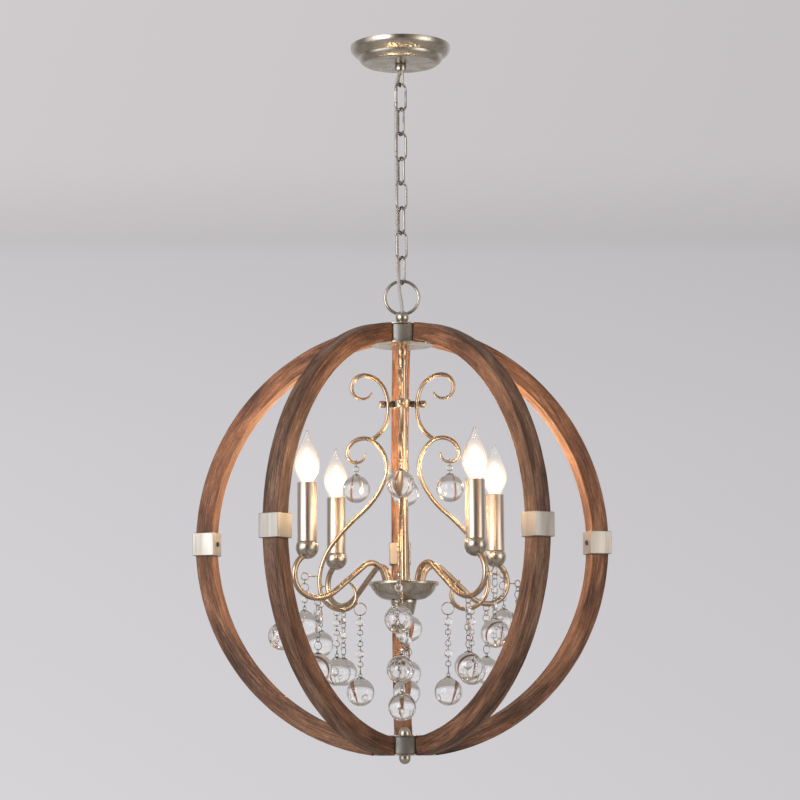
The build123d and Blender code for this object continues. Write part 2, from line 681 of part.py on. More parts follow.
def make_dish_cap():
    """Turned cap under the dish, which holds it up on the stem."""
    top = DISH_RIM_Z - DISH_DEPTH - PINCH
    low = top - DISH_CAP_HEIGHT
    cap = spin([
        (0, top),
        (DISH_CAP_RADIUS, top),
        (DISH_CAP_RADIUS, top - 4),
        (DISH_CAP_FOOT_RADIUS, low),
        (0, low),
    ])
    socket = DISH_CAP_HEIGHT / 2 + SEAT
    return [hung(cap - Pos(0, 0, top - socket / 2) * Cylinder(STEM_RADIUS + SEAT, socket))]


# ---------------------------------------------------------------- scrolls and arms
def eye(radius, line_z, rod_z):
    """A small wire eye under a rod; its lowest wire lies on the strand's hinge line."""
    bend = (rod_z - line_z) / 2
    return ring_in_xz((radius, 0, line_z + bend), bend, EYE_WIRE)


def end_hook(radius, line_z):
    """A large wire ring on the inside of the tail's curl; its lowest wire lies on the hinge line."""
    bend = (END_HOOK_DIAMETER - EYE_WIRE) / 2
    return ring_in_xz((radius, 0, line_z + bend), bend, EYE_WIRE)


def tip_hook(centre, rod_end):
    """A wire ring held out from the outside of a bend by a short stub."""
    cx, cz = centre
    reach = (HOOK_DIAMETER - HOOK_WIRE) / 2
    ring = ring_in_xz((cx, 0, cz), reach, HOOK_WIRE)
    return ring + rod_between((rod_end, 0, cz), (cx - reach, 0, cz), HOOK_WIRE / 2)


def make_scroll():
    """Upper curl and long S-shaped tail, brazed where they meet, with the wires that hold the drops."""
    lower = tail_edges()
    top = bent_rod(upper_curl_edges(), UPPER_CURL_START, UPPER_CURL_HEADING, ROD_DIAMETER)
    tail = bent_rod(lower, LOWER_CURL_START, LOWER_CURL_HEADING, ROD_DIAMETER)
    scroll = tail + top
    scroll += end_hook(INNER_EYE_R, EYE_LINE_Z)
    scroll += eye(MIDDLE_EYE_R, EYE_LINE_Z, lowest_at(lower, MIDDLE_EYE_R))
    scroll += tip_hook(SCROLL_TIP_HOOK, outermost_at(lower, SCROLL_TIP_HOOK[1]))
    hole = Pos(scroll_at_collar(), 0, SCROLL_COLLAR_Z) * Rot(0, 90, 0)
    return scroll - hole * Cylinder(BOLT_RADIUS + SEAT, 4 * ROD_DIAMETER)


def make_scrolls():
    scroll = make_scroll()
    return [hung(turned(scroll, a)) for a in branch_azimuths(SCROLL_AZIMUTH)]


def arm_azimuths():
    return branch_azimuths(ARM_AZIMUTH)


def arm_edges():
    first, point, heading = walk_arcs(ARM_START, ARM_HEADING, ARM_ARCS)
    run = radians(heading)
    end = (point[0] + ARM_STRAIGHT * cos(run), point[1] + ARM_STRAIGHT * sin(run))
    middle = [Line((point[0], 0, point[1]), (end[0], 0, end[1]))]
    last, tip, heading = walk_arcs(end, heading, ARM_END_ARCS)
    return first + middle + last, tip


def arm_rod(diameter):
    edges, _ = arm_edges()
    return bent_rod(edges, ARM_START, ARM_HEADING, diameter)


def make_arms():
    edges, _ = arm_edges()
    arm = arm_rod(ARM_DIAMETER)
    arm += eye(ARM_EYE_R, ARM_EYE_Z, lowest_at(edges, ARM_EYE_R))
    arm += tip_hook(ARM_TIP_HOOK, outermost_at(edges, ARM_TIP_HOOK[1]))
    return [hung(turned(arm, a)) for a in arm_azimuths()]


# ---------------------------------------------------------------- candles
def at_candle(solid):
    """The same candle part on every arm."""
    placed = Pos(CANDLE_RADIUS, 0, 0) * solid
    return [hung(turned(placed, a)) for a in arm_azimuths()]


def make_candle_cups():
    ball = Pos(0, 0, CUP_CENTRE_Z) * Sphere(CUP_RADIUS)
    ball &= Pos(0, 0, CUP_TOP_Z - PINCH - 50) * Box(100, 100, 100)
    placed = Pos(CANDLE_RADIUS, 0, 0) * ball - arm_rod(ARM_DIAMETER + 2 * SEAT)
    whole = max(placed.solids(), key=lambda s: s.volume)
    return [hung(turned(whole, a)) for a in arm_azimuths()]


def make_candle_sleeves():
    return at_candle(tube(SLEEVE_RADIUS, SLEEVE_RADIUS - SLEEVE_WALL, CUP_TOP_Z, candle_top))


def make_lamp_sockets():
    """Plain lamp holder inside each sleeve, open at the top for the lamp's base."""
    low = CUP_TOP_Z + PINCH
    high = low + SOCKET_HEIGHT
    body = Pos(0, 0, (low + high) / 2) * Cylinder(SOCKET_RADIUS, SOCKET_HEIGHT)
    return at_candle(body - Pos(0, 0, high - SOCKET_DEPTH / 2) * Cylinder(SOCKET_BORE, SOCKET_DEPTH + 0.01))


def bulb_outline(inset):
    """Half outline of a candle lamp's glass, from the neck up to the tip."""
    low = candle_top - 1
    tip = candle_top + BULB_HEIGHT - inset
    neck = BULB_NECK_RADIUS - inset
    belly_z = candle_top + 0.36 * BULB_HEIGHT
    curve = Spline(
        (neck, low),
        (BULB_RADIUS - inset, belly_z),
        (0.42 * BULB_RADIUS - inset, candle_top + 0.84 * BULB_HEIGHT),
        (0.8, tip),
        tangents=[(0.35, 1), (-0.12, 1)],
    )
    return [Line((0, low), (neck, low)), curve, Line((0.8, tip), (0, tip)), Line((0, tip), (0, low))]


def make_bulb(azimuth):
    """Glass shell and its metal base, which stands in the lamp holder."""
    outer = revolve(Plane.XZ * make_face(Wire(bulb_outline(0))), Axis.Z)
    inner = revolve(Plane.XZ * make_face(Wire(bulb_outline(BULB_WALL))), Axis.Z)
    glass = outer - inner
    base_top = candle_top - 1 - PINCH
    base = Pos(0, 0, base_top - BULB_BASE_HEIGHT / 2) * Cylinder(BULB_BASE_RADIUS, BULB_BASE_HEIGHT)
    place = Pos(CANDLE_RADIUS, 0, 0)
    return [hung(turned(place * s, azimuth)) for s in (glass, base)]


# ---------------------------------------------------------------- crystal drops
def crystal_ball(loop_top, across):
    """Cap with its wire loop, and the ball under it; loop_top is the height of the loop's upper wire."""
    make_ring = ring_in_yz if across else ring_in_xz
    radius = (CAP_LOOP - STRAND_WIRE) / 2
    ball_top = loop_top - 2 * radius - CAP_HEIGHT + CAP_OVERLAP
    centre = ball_top - BALL_RADIUS
    ball = Pos(0, 0, centre) * Sphere(BALL_RADIUS)
    cap = Pos(0, 0, ball_top - CAP_OVERLAP + CAP_HEIGHT / 2) * Cone(CAP_RADIUS, CAP_TOP_RADIUS, CAP_HEIGHT)
    cap -= Pos(0, 0, centre) * Sphere(BALL_RADIUS + SEAT)
    cap += make_ring((0, 0, loop_top - radius), radius, STRAND_WIRE)
    return [ball, cap]


def octagon(width):
    """Eight sides with a flat at the top and the bottom."""
    return RegularPolygon(width / 2, 8, major_radius=False, rotation=22.5)


def bead(hole_z, across):
    """Octagonal crystal with a hole at its top and bottom; hole_z is the height of the upper hole."""
    half = [(BEAD_WIDTH, BEAD_EDGE), (BEAD_TABLE, BEAD_THICKNESS)]
    levels = [(w, -t) for w, t in reversed(half)] + half
    outlines = [Pos(0, 0, t / 2) * octagon(w) for w, t in levels]
    crystal = loft(outlines, ruled=True)
    for end in (-1, 1):
        crystal -= Pos(0, end * bead_hole_reach, 0) * Cylinder(BEAD_HOLE_RADIUS, 2 * BEAD_THICKNESS)
    facing = Rot(0, 0, 90 if across else 0) * Rot(90, 0, 0)
    return Pos(0, 0, hole_z - bead_hole_reach) * facing * crystal


def strand(code, line_z, line_wire):
    """Rings and beads hung in each other under a wire at line_z, then a ball, as separate solids.

    Each piece stands at a right angle to the one above it.
    """
    solids = []
    z = line_z
    rise = (line_wire + STRAND_WIRE) / 2 + STRAND_SLACK
    hole_drop = BEAD_HOLE_RADIUS - STRAND_WIRE / 2 - BEAD_HOLE_PLAY
    for number, letter in enumerate(code):
        across = number % 2 == 0
        if letter == "b":
            solids.append(bead(z - hole_drop, across))
            z -= hole_drop + 2 * bead_hole_reach
            rise = -hole_drop
            continue
        size = SMALL_RING if letter == "r" else LARGE_RING
        radius = (size - STRAND_WIRE) / 2
        top = z + rise
        make_ring = ring_in_yz if across else ring_in_xz
        solids.append(make_ring((0, 0, top - radius), radius, STRAND_WIRE))
        z = top - 2 * radius
        rise = STRAND_WIRE + STRAND_SLACK
    return solids + crystal_ball(z + rise, len(code) % 2 == 0)


def strand_at(code, radius, line_z, line_wire, azimuth):
    return [hung(turned(Pos(radius, 0, 0) * s, azimuth)) for s in strand(code, line_z, line_wire)]


def make_scroll_strands(azimuth):
    code = FRONT_INNER_STRAND if azimuth == SCROLL_AZIMUTH else INNER_STRAND
    inner = strand_at(code, INNER_EYE_R, EYE_LINE_Z, EYE_WIRE, azimuth)
    return inner + strand_at(MIDDLE_STRAND, MIDDLE_EYE_R, EYE_LINE_Z, EYE_WIRE, azimuth)


def hook_line(hook):
    """Height of the lowest wire of a tip hook, which a strand hangs on."""
    return hook[1] - (HOOK_DIAMETER - HOOK_WIRE) / 2


def make_tip_strand(code, hook, azimuth):
    return strand_at(code, hook[0], hook_line(hook), HOOK_WIRE, azimuth)


def make_top_drop(azimuth):
    """A wire ring over the lower curl, with a small ring and a ball under it."""
    radius = (TOP_RING - TOP_RING_WIRE) / 2
    top = top_drop_z() + (ROD_DIAMETER + TOP_RING_WIRE) / 2 + SLACK
    over_rod = ring_in_yz((TOP_DROP_R, 0, top - radius), radius, TOP_RING_WIRE)
    low = top - 2 * radius
    size = (SMALL_RING - STRAND_WIRE) / 2
    rise = (TOP_RING_WIRE + STRAND_WIRE) / 2 + STRAND_SLACK
    small = ring_in_xz((TOP_DROP_R, 0, low + rise - size), size, STRAND_WIRE)
    ball_top = low + rise - 2 * size + STRAND_WIRE + STRAND_SLACK
    ball = [Pos(TOP_DROP_R, 0, 0) * s for s in crystal_ball(ball_top, True)]
    return [hung(turned(s, azimuth)) for s in [over_rod, small] + ball]


# ---------------------------------------------------------------- write every sub-part
def write_all():
    os.makedirs("parts", exist_ok=True)
    save("crossbar", make_crossbar())
    save("lock_nuts", make_lock_nuts())
    save("canopy", make_canopy())
    save("canopy_loop", make_canopy_loop())
    save("supply_cord", make_flex())
    for number in range(1, LINK_COUNT + 1):
        save(f"link_{number}", make_link(number))
    save("orb_ring", make_orb_ring())
    save("ball_collar", make_ball_collar())
    save("hub_discs", make_hub_discs())
    save("hub_drums", make_hub_drums())
    for number, azimuth in enumerate(rib_azimuths(), 1):
        save(f"rib_{number}", make_rib(azimuth))
    save("clamps", make_clamps())
    save("wood_screws", make_wood_screws())
    save("bottom_finial", make_bottom_finial())
    save("bottom_cap_nut", make_bottom_cap_nut())
    save("stem", make_stem())
    save("scroll_collar", make_scroll_collar())
    save("scroll_bolts", make_scroll_bolts())
    save("dish", make_dish())
    save("dish_cap", make_dish_cap())
    save("scrolls", make_scrolls())
    save("arms", make_arms())
    save("candle_cups", make_candle_cups())
    save("candle_sleeves", make_candle_sleeves())
    save("lamp_sockets", make_lamp_sockets())
    for number, azimuth in enumerate(arm_azimuths(), 1):
        save(f"bulb_{number}", make_bulb(azimuth))
        save(f"arm_strand_{number}", strand_at(ARM_STRAND, ARM_EYE_R, ARM_EYE_Z, EYE_WIRE, azimuth))
        save(f"arm_tip_strand_{number}", make_tip_strand(ARM_TIP_STRAND, ARM_TIP_HOOK, azimuth))
    for number, azimuth in enumerate(branch_azimuths(SCROLL_AZIMUTH), 1):
        save(f"top_drop_{number}", make_top_drop(azimuth))
        save(f"scroll_strands_{number}", make_scroll_strands(azimuth))
        save(f"scroll_tip_strand_{number}", make_tip_strand(SCROLL_TIP_STRAND, SCROLL_TIP_HOOK, azimuth))


write_all()
print("orb drop", round(orb_drop, 3))
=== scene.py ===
"""Orb chandelier: wooden ribs round candle lamps, with scrolls, crystal drops, chain and ceiling plate."""
import logging
from dataclasses import dataclass, field
from enum import Enum
from math import acos, cos, hypot, pi, radians, sin, sqrt

import bpy
from mathutils import Matrix, Vector, noise


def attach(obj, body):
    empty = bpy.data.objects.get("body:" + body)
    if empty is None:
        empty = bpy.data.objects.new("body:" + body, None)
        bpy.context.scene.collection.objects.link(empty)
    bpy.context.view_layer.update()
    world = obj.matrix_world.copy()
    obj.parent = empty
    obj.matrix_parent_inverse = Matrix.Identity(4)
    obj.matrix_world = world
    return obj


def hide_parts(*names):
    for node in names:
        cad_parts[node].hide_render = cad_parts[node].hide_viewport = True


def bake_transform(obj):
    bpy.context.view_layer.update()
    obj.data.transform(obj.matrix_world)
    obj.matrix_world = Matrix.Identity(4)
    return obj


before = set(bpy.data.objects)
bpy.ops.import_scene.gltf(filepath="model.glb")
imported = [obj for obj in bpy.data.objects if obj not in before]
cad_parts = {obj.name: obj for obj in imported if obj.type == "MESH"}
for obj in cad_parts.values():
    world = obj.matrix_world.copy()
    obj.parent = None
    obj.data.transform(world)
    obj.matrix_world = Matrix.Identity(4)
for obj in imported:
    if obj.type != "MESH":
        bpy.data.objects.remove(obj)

log = logging.getLogger("orb_chandelier")
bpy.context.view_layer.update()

Colour = tuple[float, float, float]
Socket = bpy.types.NodeSocket
Node = bpy.types.ShaderNode

MM = 0.001
HUB_TOP = sqrt(297.0**2 - 40.0**2)     # upper face of the top disc, above the middle of the orb
DISC_LOW = sqrt(272.0**2 - 40.0**2)    # under the drum
DROP = 691.344                         # middle of the orb, below the ceiling
BALL_Z = HUB_TOP + 4.0 + 9.5 - 1.0     # middle of the ball over the top disc
RING_Z = BALL_Z + 4.5 + 23.25          # middle of the ring that the chain hangs in
LINK_HALF = 19.3                       # from a link's middle to its end wires
LINK_PITCH = 35.1
SCROLL_AZIMUTHS = [-3.0 + 90.0 * k for k in range(4)]
ARM_AZIMUTHS = [36.5 + 90.0 * k for k in range(4)]
RIB_AZIMUTHS = [37.0 + 72.0 * k for k in range(5)]
CANDLE_R = 160.0
CANDLE_TOP = 69.0
RING_OUTSIDE = 51.0                    # the ring that the chain hangs in
RING_WIRE = 4.45
RIB_INNER = 272.0                      # radius of a rib's inner face about its own middle
RIB_SHIFT = 3.0                        # how far that middle lies from the stem
RIB_DEPTH = 25.0
EYE_WIRE = 1.4
HOOK_WIRE = 1.6
RING_TOP = RING_Z + 23.25              # axis of the ring's wire at its top


class Body(str, Enum):
    """Rigid bodies of the frame that have no number."""

    CEILING = "ceiling_mount"
    ORB = "orb"


class Slot(str, Enum):
    """The record's material slots."""

    SILVER = "silver"
    ZINC = "zinc"
    CHAIN = "chain"
    FLEX = "flex"
    DRUM = "drum"
    WOOD = "wood"
    CLAMP = "clamp"
    SCREW = "screw"
    SLEEVE = "sleeve"
    SOCKET = "socket"
    BULB = "bulb"
    CRYSTAL = "crystal"


# ---------------------------------------------------------------- node helpers
class Graph:
    """A node tree, with short ways to add and join nodes."""

    def __init__(self, tree: bpy.types.NodeTree, output: str) -> None:
        """Clears the tree and adds its output node."""
        self.nodes, self.links = tree.nodes, tree.links
        self.nodes.clear()
        self.output = self.nodes.new(output)
        self.material: bpy.types.Material | None = None

    @classmethod
    def for_material(cls, name: str) -> "Graph":
        """Returns the graph of a new material."""
        material = bpy.data.materials.new(name)
        material.use_nodes = True
        graph = cls(material.node_tree, "ShaderNodeOutputMaterial")
        graph.material = material
        return graph

    def add(self, kind: str, inputs: dict | None = None, **settings: str | bool) -> Node:
        """Adds a node.

        Args:
            kind: The node's Blender type without its ShaderNode prefix.
            inputs: Socket name or number to a value, or to another node's output socket.
            settings: Attributes of the node itself.

        Returns:
            The new node.
        """
        node = self.nodes.new("ShaderNode" + kind)
        for key, value in settings.items():
            setattr(node, key, value)
        for key, value in (inputs or {}).items():
            if isinstance(value, Socket):
                self.links.new(value, node.inputs[key])
            else:
                node.inputs[key].default_value = value
        return node

    def ramp(self, factor: Socket, stops: list[tuple[float, Colour]]) -> Socket:
        """A colour ramp over factor, from (place, colour) stops; returns its colour socket."""
        node = self.add("ValToRGB", {0: factor})
        ramp = node.color_ramp
        while len(ramp.elements) < len(stops):
            ramp.elements.new(0.5)
        for element, (place, colour) in zip(ramp.elements, stops):
            element.position = place
            element.color = (*colour, 1.0)
        return node.outputs["Color"]

    def span(self, factor: Socket, low: float, high: float, start: float = 0.0, end: float = 1.0) -> Socket:
        """Maps factor from start..end to low..high; returns the value socket."""
        node = self.add("MapRange", {"Value": factor, "From Min": start, "From Max": end,
                                     "To Min": low, "To Max": high})
        return node.outputs["Result"]

    def maths(self, kind: str, *values: Socket | float) -> Socket:
        """Works out one sum of the values; returns the value socket."""
        return self.add("Math", dict(enumerate(values)), operation=kind).outputs[0]

    def mix(self, factor: Socket | float, first: Socket | Colour, second: Socket | Colour,
            blend: str = "MIX") -> Socket:
        """Mixes two colours; returns the colour socket."""
        node = self.add("Mix", data_type="RGBA", blend_type=blend)
        for socket, value in ((node.inputs[0], factor), (node.inputs[6], first), (node.inputs[7], second)):
            if isinstance(value, Socket):
                self.links.new(value, socket)
            else:
                socket.default_value = value if isinstance(value, (int, float)) else (*value, 1.0)
        return node.outputs[2]

    def noise(self, vector: Socket, scale: float, detail: float = 4.0, rough: float = 0.55,
              warp: float = 0.0) -> Socket:
        """Noise over a vector socket; returns the value socket."""
        node = self.add("TexNoise", {"Vector": vector, "Scale": scale, "Detail": detail,
                                     "Roughness": rough, "Distortion": warp})
        return node.outputs["Fac"]

    def stretched(self, source: Socket, scale: tuple[float, float, float]) -> Socket:
        """A vector socket scaled by axis."""
        return self.add("Mapping", {"Vector": source, "Scale": scale}).outputs["Vector"]

    def bump(self, height: Socket, strength: float, distance: float, normal: Socket | None = None) -> Socket:
        """A bump over a height socket, in metres; returns the normal socket."""
        inputs = {"Height": height, "Strength": strength, "Distance": distance}
        if normal is not None:
            inputs["Normal"] = normal
        return self.add("Bump", inputs).outputs["Normal"]

    def finish(self, shader: Node) -> bpy.types.Material:
        """Joins the shader to the output and returns the material, if the graph has one."""
        self.links.new(shader.outputs[0], self.output.inputs["Surface"])
        return self.material


@dataclass(frozen=True)
class SatinMetal:
    """Satin plated or leafed metal with a mottled tone and a soft, uneven gloss.

    Args:
        name: The material's name.
        light: Colour of the bright patches.
        dark: Colour of the worn patches.
        rough: Least and largest roughness.
        size: Patches per metre.
        streak: Stretch of the patches along Z, 1 for none.
        relief: Height of the patches, in metres.
    """

    name: str
    light: Colour
    dark: Colour
    rough: tuple[float, float] = (0.24, 0.4)
    size: float = 120.0
    streak: float = 1.0
    relief: float = 0.00012

    def build(self) -> bpy.types.Material:
        """Returns the material."""
        g = Graph.for_material(self.name)
        place = g.add("TexCoord").outputs["Object"]
        place = g.stretched(place, (1.0, 1.0, 1.0 / self.streak))
        patches = g.noise(place, self.size, 5.0, 0.6, 0.4)
        fine = g.noise(place, self.size * 7.0, 3.0, 0.5)
        tone = g.ramp(patches, [(0.3, self.dark), (0.62, self.light)])
        tone = g.mix(g.span(fine, 0.0, 0.25, 0.35, 0.75), tone, self.dark)
        gloss = g.span(patches, self.rough[1], self.rough[0], 0.3, 0.7)
        height = g.mix(0.5, patches, fine)
        shader = g.add("BsdfPrincipled", {
            "Base Color": tone, "Metallic": 1.0, "Roughness": gloss,
            "Normal": g.bump(height, 0.35, self.relief),
        })
        return g.finish(shader)


@dataclass(frozen=True)
class WeatheredWood:
    """Brown wood with an open, dark-streaked grain that runs along the piece, greyer on its outer face."""

    name: str = "weathered_wood"

    def build(self) -> bpy.types.Material:
        """Returns the material; U runs along the grain and V round the bar, both in metres."""
        g = Graph.for_material(self.name)
        uv = g.add("UVMap", uv_map="grain").outputs["UV"]
        outer = g.add("Attribute", attribute_name="outer").outputs["Fac"]
        broad = g.noise(g.stretched(uv, (9.0, 60.0, 1.0)), 1.0, 4.0, 0.55, 0.6)
        grain = g.noise(g.stretched(uv, (26.0, 520.0, 1.0)), 1.0, 6.0, 0.65, 0.35)
        pores = g.noise(g.stretched(uv, (150.0, 1100.0, 1.0)), 1.0, 3.0, 0.6)
        tone = g.mix(0.5, broad, grain)
        brown = g.ramp(tone, [(0.36, (0.020, 0.008, 0.004)), (0.46, (0.105, 0.044, 0.023)),
                              (0.54, (0.220, 0.098, 0.050)), (0.64, (0.36, 0.195, 0.110))])
        grey = g.ramp(tone, [(0.35, (0.030, 0.013, 0.007)), (0.46, (0.100, 0.046, 0.026)),
                             (0.54, (0.195, 0.100, 0.060)), (0.64, (0.33, 0.205, 0.138))])
        colour = g.mix(outer, brown, grey)
        specks = g.ramp(pores, [(0.36, (0.28, 0.25, 0.23)), (0.5, (1.0, 1.0, 1.0))])
        colour = g.mix(0.75, colour, specks, "MULTIPLY")
        normal = g.bump(grain, 0.6, 0.0009)
        normal = g.bump(pores, 0.5, 0.0005, normal)
        shader = g.add("BsdfPrincipled", {
            "Base Color": colour, "Roughness": g.span(grain, 0.78, 0.52, 0.3, 0.7), "Normal": normal,
        })
        return g.finish(shader)


@dataclass(frozen=True)
class ClearGlass:
    """Polished clear glass or crystal with faint ripples.

    Args:
        name: The material's name.
        tint: Colour of the glass.
        index: Index of refraction.
        glow: Warm light given off by the glass round a filament, 0 for none.
        middle: Height of the middle of that glow, in metres.
    """

    name: str
    tint: Colour = (0.985, 0.985, 0.98)
    index: float = 1.5
    glow: float = 0.0
    middle: float = 0.0

    def build(self) -> bpy.types.Material:
        """Returns the material."""
        g = Graph.for_material(self.name)
        place = g.add("TexCoord").outputs["Object"]
        ripple = g.noise(place, 55.0, 2.0)
        tint = g.ramp(ripple, [(0.3, tuple(c * 0.97 for c in self.tint)), (0.7, self.tint)])
        inputs = {
            "Base Color": tint, "Roughness": 0.0, "IOR": self.index, "Transmission Weight": 1.0,
            "Normal": g.bump(ripple, 0.12, 0.0004),
        }
        if self.glow:
            height = g.add("SeparateXYZ", {0: place}).outputs["Z"]
            above = g.span(height, 1.0, 0.0, self.middle, self.middle + 0.034)
            below = g.span(height, 0.35, 1.0, self.middle - 0.034, self.middle - 0.006)
            near = g.maths("MULTIPLY", above, below)
            facing = g.add("LayerWeight", {"Blend": 0.5}).outputs["Facing"]
            core = g.maths("MULTIPLY", near, g.span(facing, 1.0, 0.0, 0.0, 0.8))
            inputs["Emission Color"] = g.ramp(core, [(0.0, (1.0, 0.50, 0.18)), (0.5, (1.0, 0.76, 0.48)),
                                                    (1.0, (1.0, 0.90, 0.74))])
            inputs["Emission Strength"] = g.maths("MULTIPLY", core, self.glow)
        return g.finish(g.add("BsdfPrincipled", inputs))


@dataclass(frozen=True)
class HotWire:
    """A filament that glows white with warm ends."""

    name: str = "filament"
    power: float = 16.0

    def build(self) -> bpy.types.Material:
        """Returns the material."""
        g = Graph.for_material(self.name)
        place = g.add("TexCoord").outputs["Object"]
        heat = g.noise(place, 400.0, 2.0)
        colour = g.ramp(heat, [(0.3, (1.0, 0.62, 0.3)), (0.7, (1.0, 0.86, 0.64))])
        return g.finish(g.add("BsdfPrincipled", {
            "Base Color": colour, "Roughness": 0.4, "Emission Color": colour, "Emission Strength": self.power,
        }))


@dataclass(frozen=True)
class Plastic:
    """Moulded plastic with a faint mottle.

    Args:
        name: The material's name.
        colour: Its base colour.
        rough: Its roughness.
        clear: How far light passes through, 0 to 1.
    """

    name: str
    colour: Colour
    rough: float = 0.45
    clear: float = 0.0

    def build(self) -> bpy.types.Material:
        """Returns the material."""
        g = Graph.for_material(self.name)
        place = g.add("TexCoord").outputs["Object"]
        mottle = g.noise(place, 240.0, 4.0)
        colour = g.ramp(mottle, [(0.3, tuple(c * 0.86 for c in self.colour)), (0.7, self.colour)])
        return g.finish(g.add("BsdfPrincipled", {
            "Base Color": colour, "Roughness": g.span(mottle, self.rough * 0.8, self.rough * 1.2),
            "Transmission Weight": self.clear, "IOR": 1.42, "Normal": g.bump(mottle, 0.2, 0.0002),
        }))


# ---------------------------------------------------------------- mesh helpers
@dataclass
class Shell:
    """Points and faces in millimetres about the middle of the orb, gathered for one piece."""

    points: list[Vector] = field(default_factory=list)
    faces: list[tuple[int, ...]] = field(default_factory=list)
    slots: list[int] = field(default_factory=list)
    uvs: list[tuple[float, float]] = field(default_factory=list)
    outer: list[float] = field(default_factory=list)

    def add(self, part: "Shell", place: Matrix | None = None, slot: int = 0) -> "Shell":
        """Adds another shell, moved by place, with its faces in a material slot; returns self."""
        start = len(self.points)
        self.points += [place @ p if place else p.copy() for p in part.points]
        self.faces += [tuple(start + i for i in face) for face in part.faces]
        self.slots += [slot + s for s in (part.slots or [0] * len(part.faces))]
        self.uvs += part.uvs
        self.outer += part.outer
        return self

    def moved(self, place: Matrix) -> "Shell":
        """Returns a moved copy."""
        return Shell().add(self, place)

    def around(self, azimuths: list[float]) -> "Shell":
        """Returns a copy turned to each azimuth."""
        shell = Shell()
        for azimuth in azimuths:
            shell.add(self, turned(azimuth))
        return shell


def lathe(profile: list[tuple[float, float]], sides: int = 64) -> Shell:
    """Turns a (radius, height) profile about Z; a radius of 0 closes the shell."""
    shell = Shell()
    rows = []
    for radius, height in profile:
        start = len(shell.points)
        if radius < 1e-6:
            shell.points.append(Vector((0, 0, height)))
            rows.append([start] * sides)
            continue
        for k in range(sides):
            a = 2 * pi * k / sides
            shell.points.append(Vector((radius * cos(a), radius * sin(a), height)))
        rows.append(list(range(start, start + sides)))
    for low, high in zip(rows, rows[1:]):
        for k in range(sides):
            n = (k + 1) % sides
            corners = [low[k], low[n], high[n], high[k]]
            face = tuple(dict.fromkeys(corners))
            if len(face) > 2:
                shell.faces.append(face)
    return shell


def tube(path: list[Vector], radius: float | list[float], sides: int = 16, closed: bool = False,
         domed: bool = False) -> Shell:
    """A round tube along a path.

    Args:
        path: Points of its axis.
        radius: One radius, or one for each point.
        sides: Sides of its section.
        closed: True for a loop.
        domed: True for round ends, and otherwise they are flat.

    Returns:
        The tube's shell.
    """
    radii = radius if isinstance(radius, list) else [radius] * len(path)
    count = len(path)
    if domed and not closed:
        first, last = (path[0] - path[1]).normalized(), (path[-1] - path[-2]).normalized()
        bend = [(sin(a), cos(a)) for a in (radians(82), radians(55), radians(28))]
        path = [path[0] + first * radii[0] * s for s, _ in bend] + path + \
               [path[-1] + last * radii[-1] * s for s, _ in reversed(bend)]
        radii = [radii[0] * c for _, c in bend] + radii + [radii[-1] * c for _, c in reversed(bend)]
        count = len(path)
    ahead = []
    for i in range(count):
        before = path[i - 1] if closed or i else path[i]
        after = path[(i + 1) % count] if closed or i < count - 1 else path[i]
        ahead.append((after - before).normalized())
    side = ahead[0].orthogonal().normalized()
    shell = Shell()
    for i in range(count):
        side = (side - ahead[i] * side.dot(ahead[i])).normalized()
        up = ahead[i].cross(side)
        for k in range(sides):
            a = 2 * pi * k / sides
            shell.points.append(path[i] + (side * cos(a) + up * sin(a)) * radii[i])
    spans = count if closed else count - 1
    shift = 0
    if closed:
        end = shell.points[(count - 1) * sides] - path[-1]
        shift = min(range(sides), key=lambda k: (shell.points[k] - path[0] - end).length)
    for i in range(spans):
        j = (i + 1) % count
        turn = shift if closed and j == 0 else 0
        for k in range(sides):
            n = (k + 1) % sides
            shell.faces.append((i * sides + k, i * sides + n, j * sides + (n + turn) % sides,
                                j * sides + (k + turn) % sides))
    if not closed:
        shell.faces.append(tuple(reversed(range(sides))))
        shell.faces.append(tuple((count - 1) * sides + k for k in range(sides)))
    return shell


def circle(radius: float, count: int = 48, start: float = 0.0, turn: float = 360.0) -> list[Vector]:
    """Points of a circle or arc in the XZ plane; a full circle leaves its last point out."""
    full = abs(turn) >= 360.0
    steps = count if full else count - 1
    return [Vector((radius * cos(radians(start + turn * k / steps)), 0,
                    radius * sin(radians(start + turn * k / steps)))) for k in range(count)]


def ring(diameter: float, wire: float, across: bool = False, count: int = 40, sides: int = 10) -> Shell:
    """A wire ring in the XZ plane, or across it; diameter is outside."""
    shell = tube(circle((diameter - wire) / 2, count), wire / 2, sides, closed=True)
    return shell.moved(Matrix.Rotation(pi / 2, 4, "Z")) if across else shell


def at(x: float = 0.0, y: float = 0.0, z: float = 0.0) -> Matrix:
    """A move, in millimetres."""
    return Matrix.Translation((x, y, z))


def turned(azimuth: float) -> Matrix:
    """Turns +X to an azimuth: 0 is the front and it grows towards +X."""
    return Matrix.Rotation(radians(azimuth - 90.0), 4, "Z")


def rounded(radius: float, height: float, start: float, steps: range,
            each: float) -> list[tuple[float, float]]:
    """Profile points on an arc about the axis point at height, at start + each * step degrees."""
    angles = [radians(start + each * k) for k in steps]
    return [(radius * cos(a), height + radius * sin(a)) for a in angles]


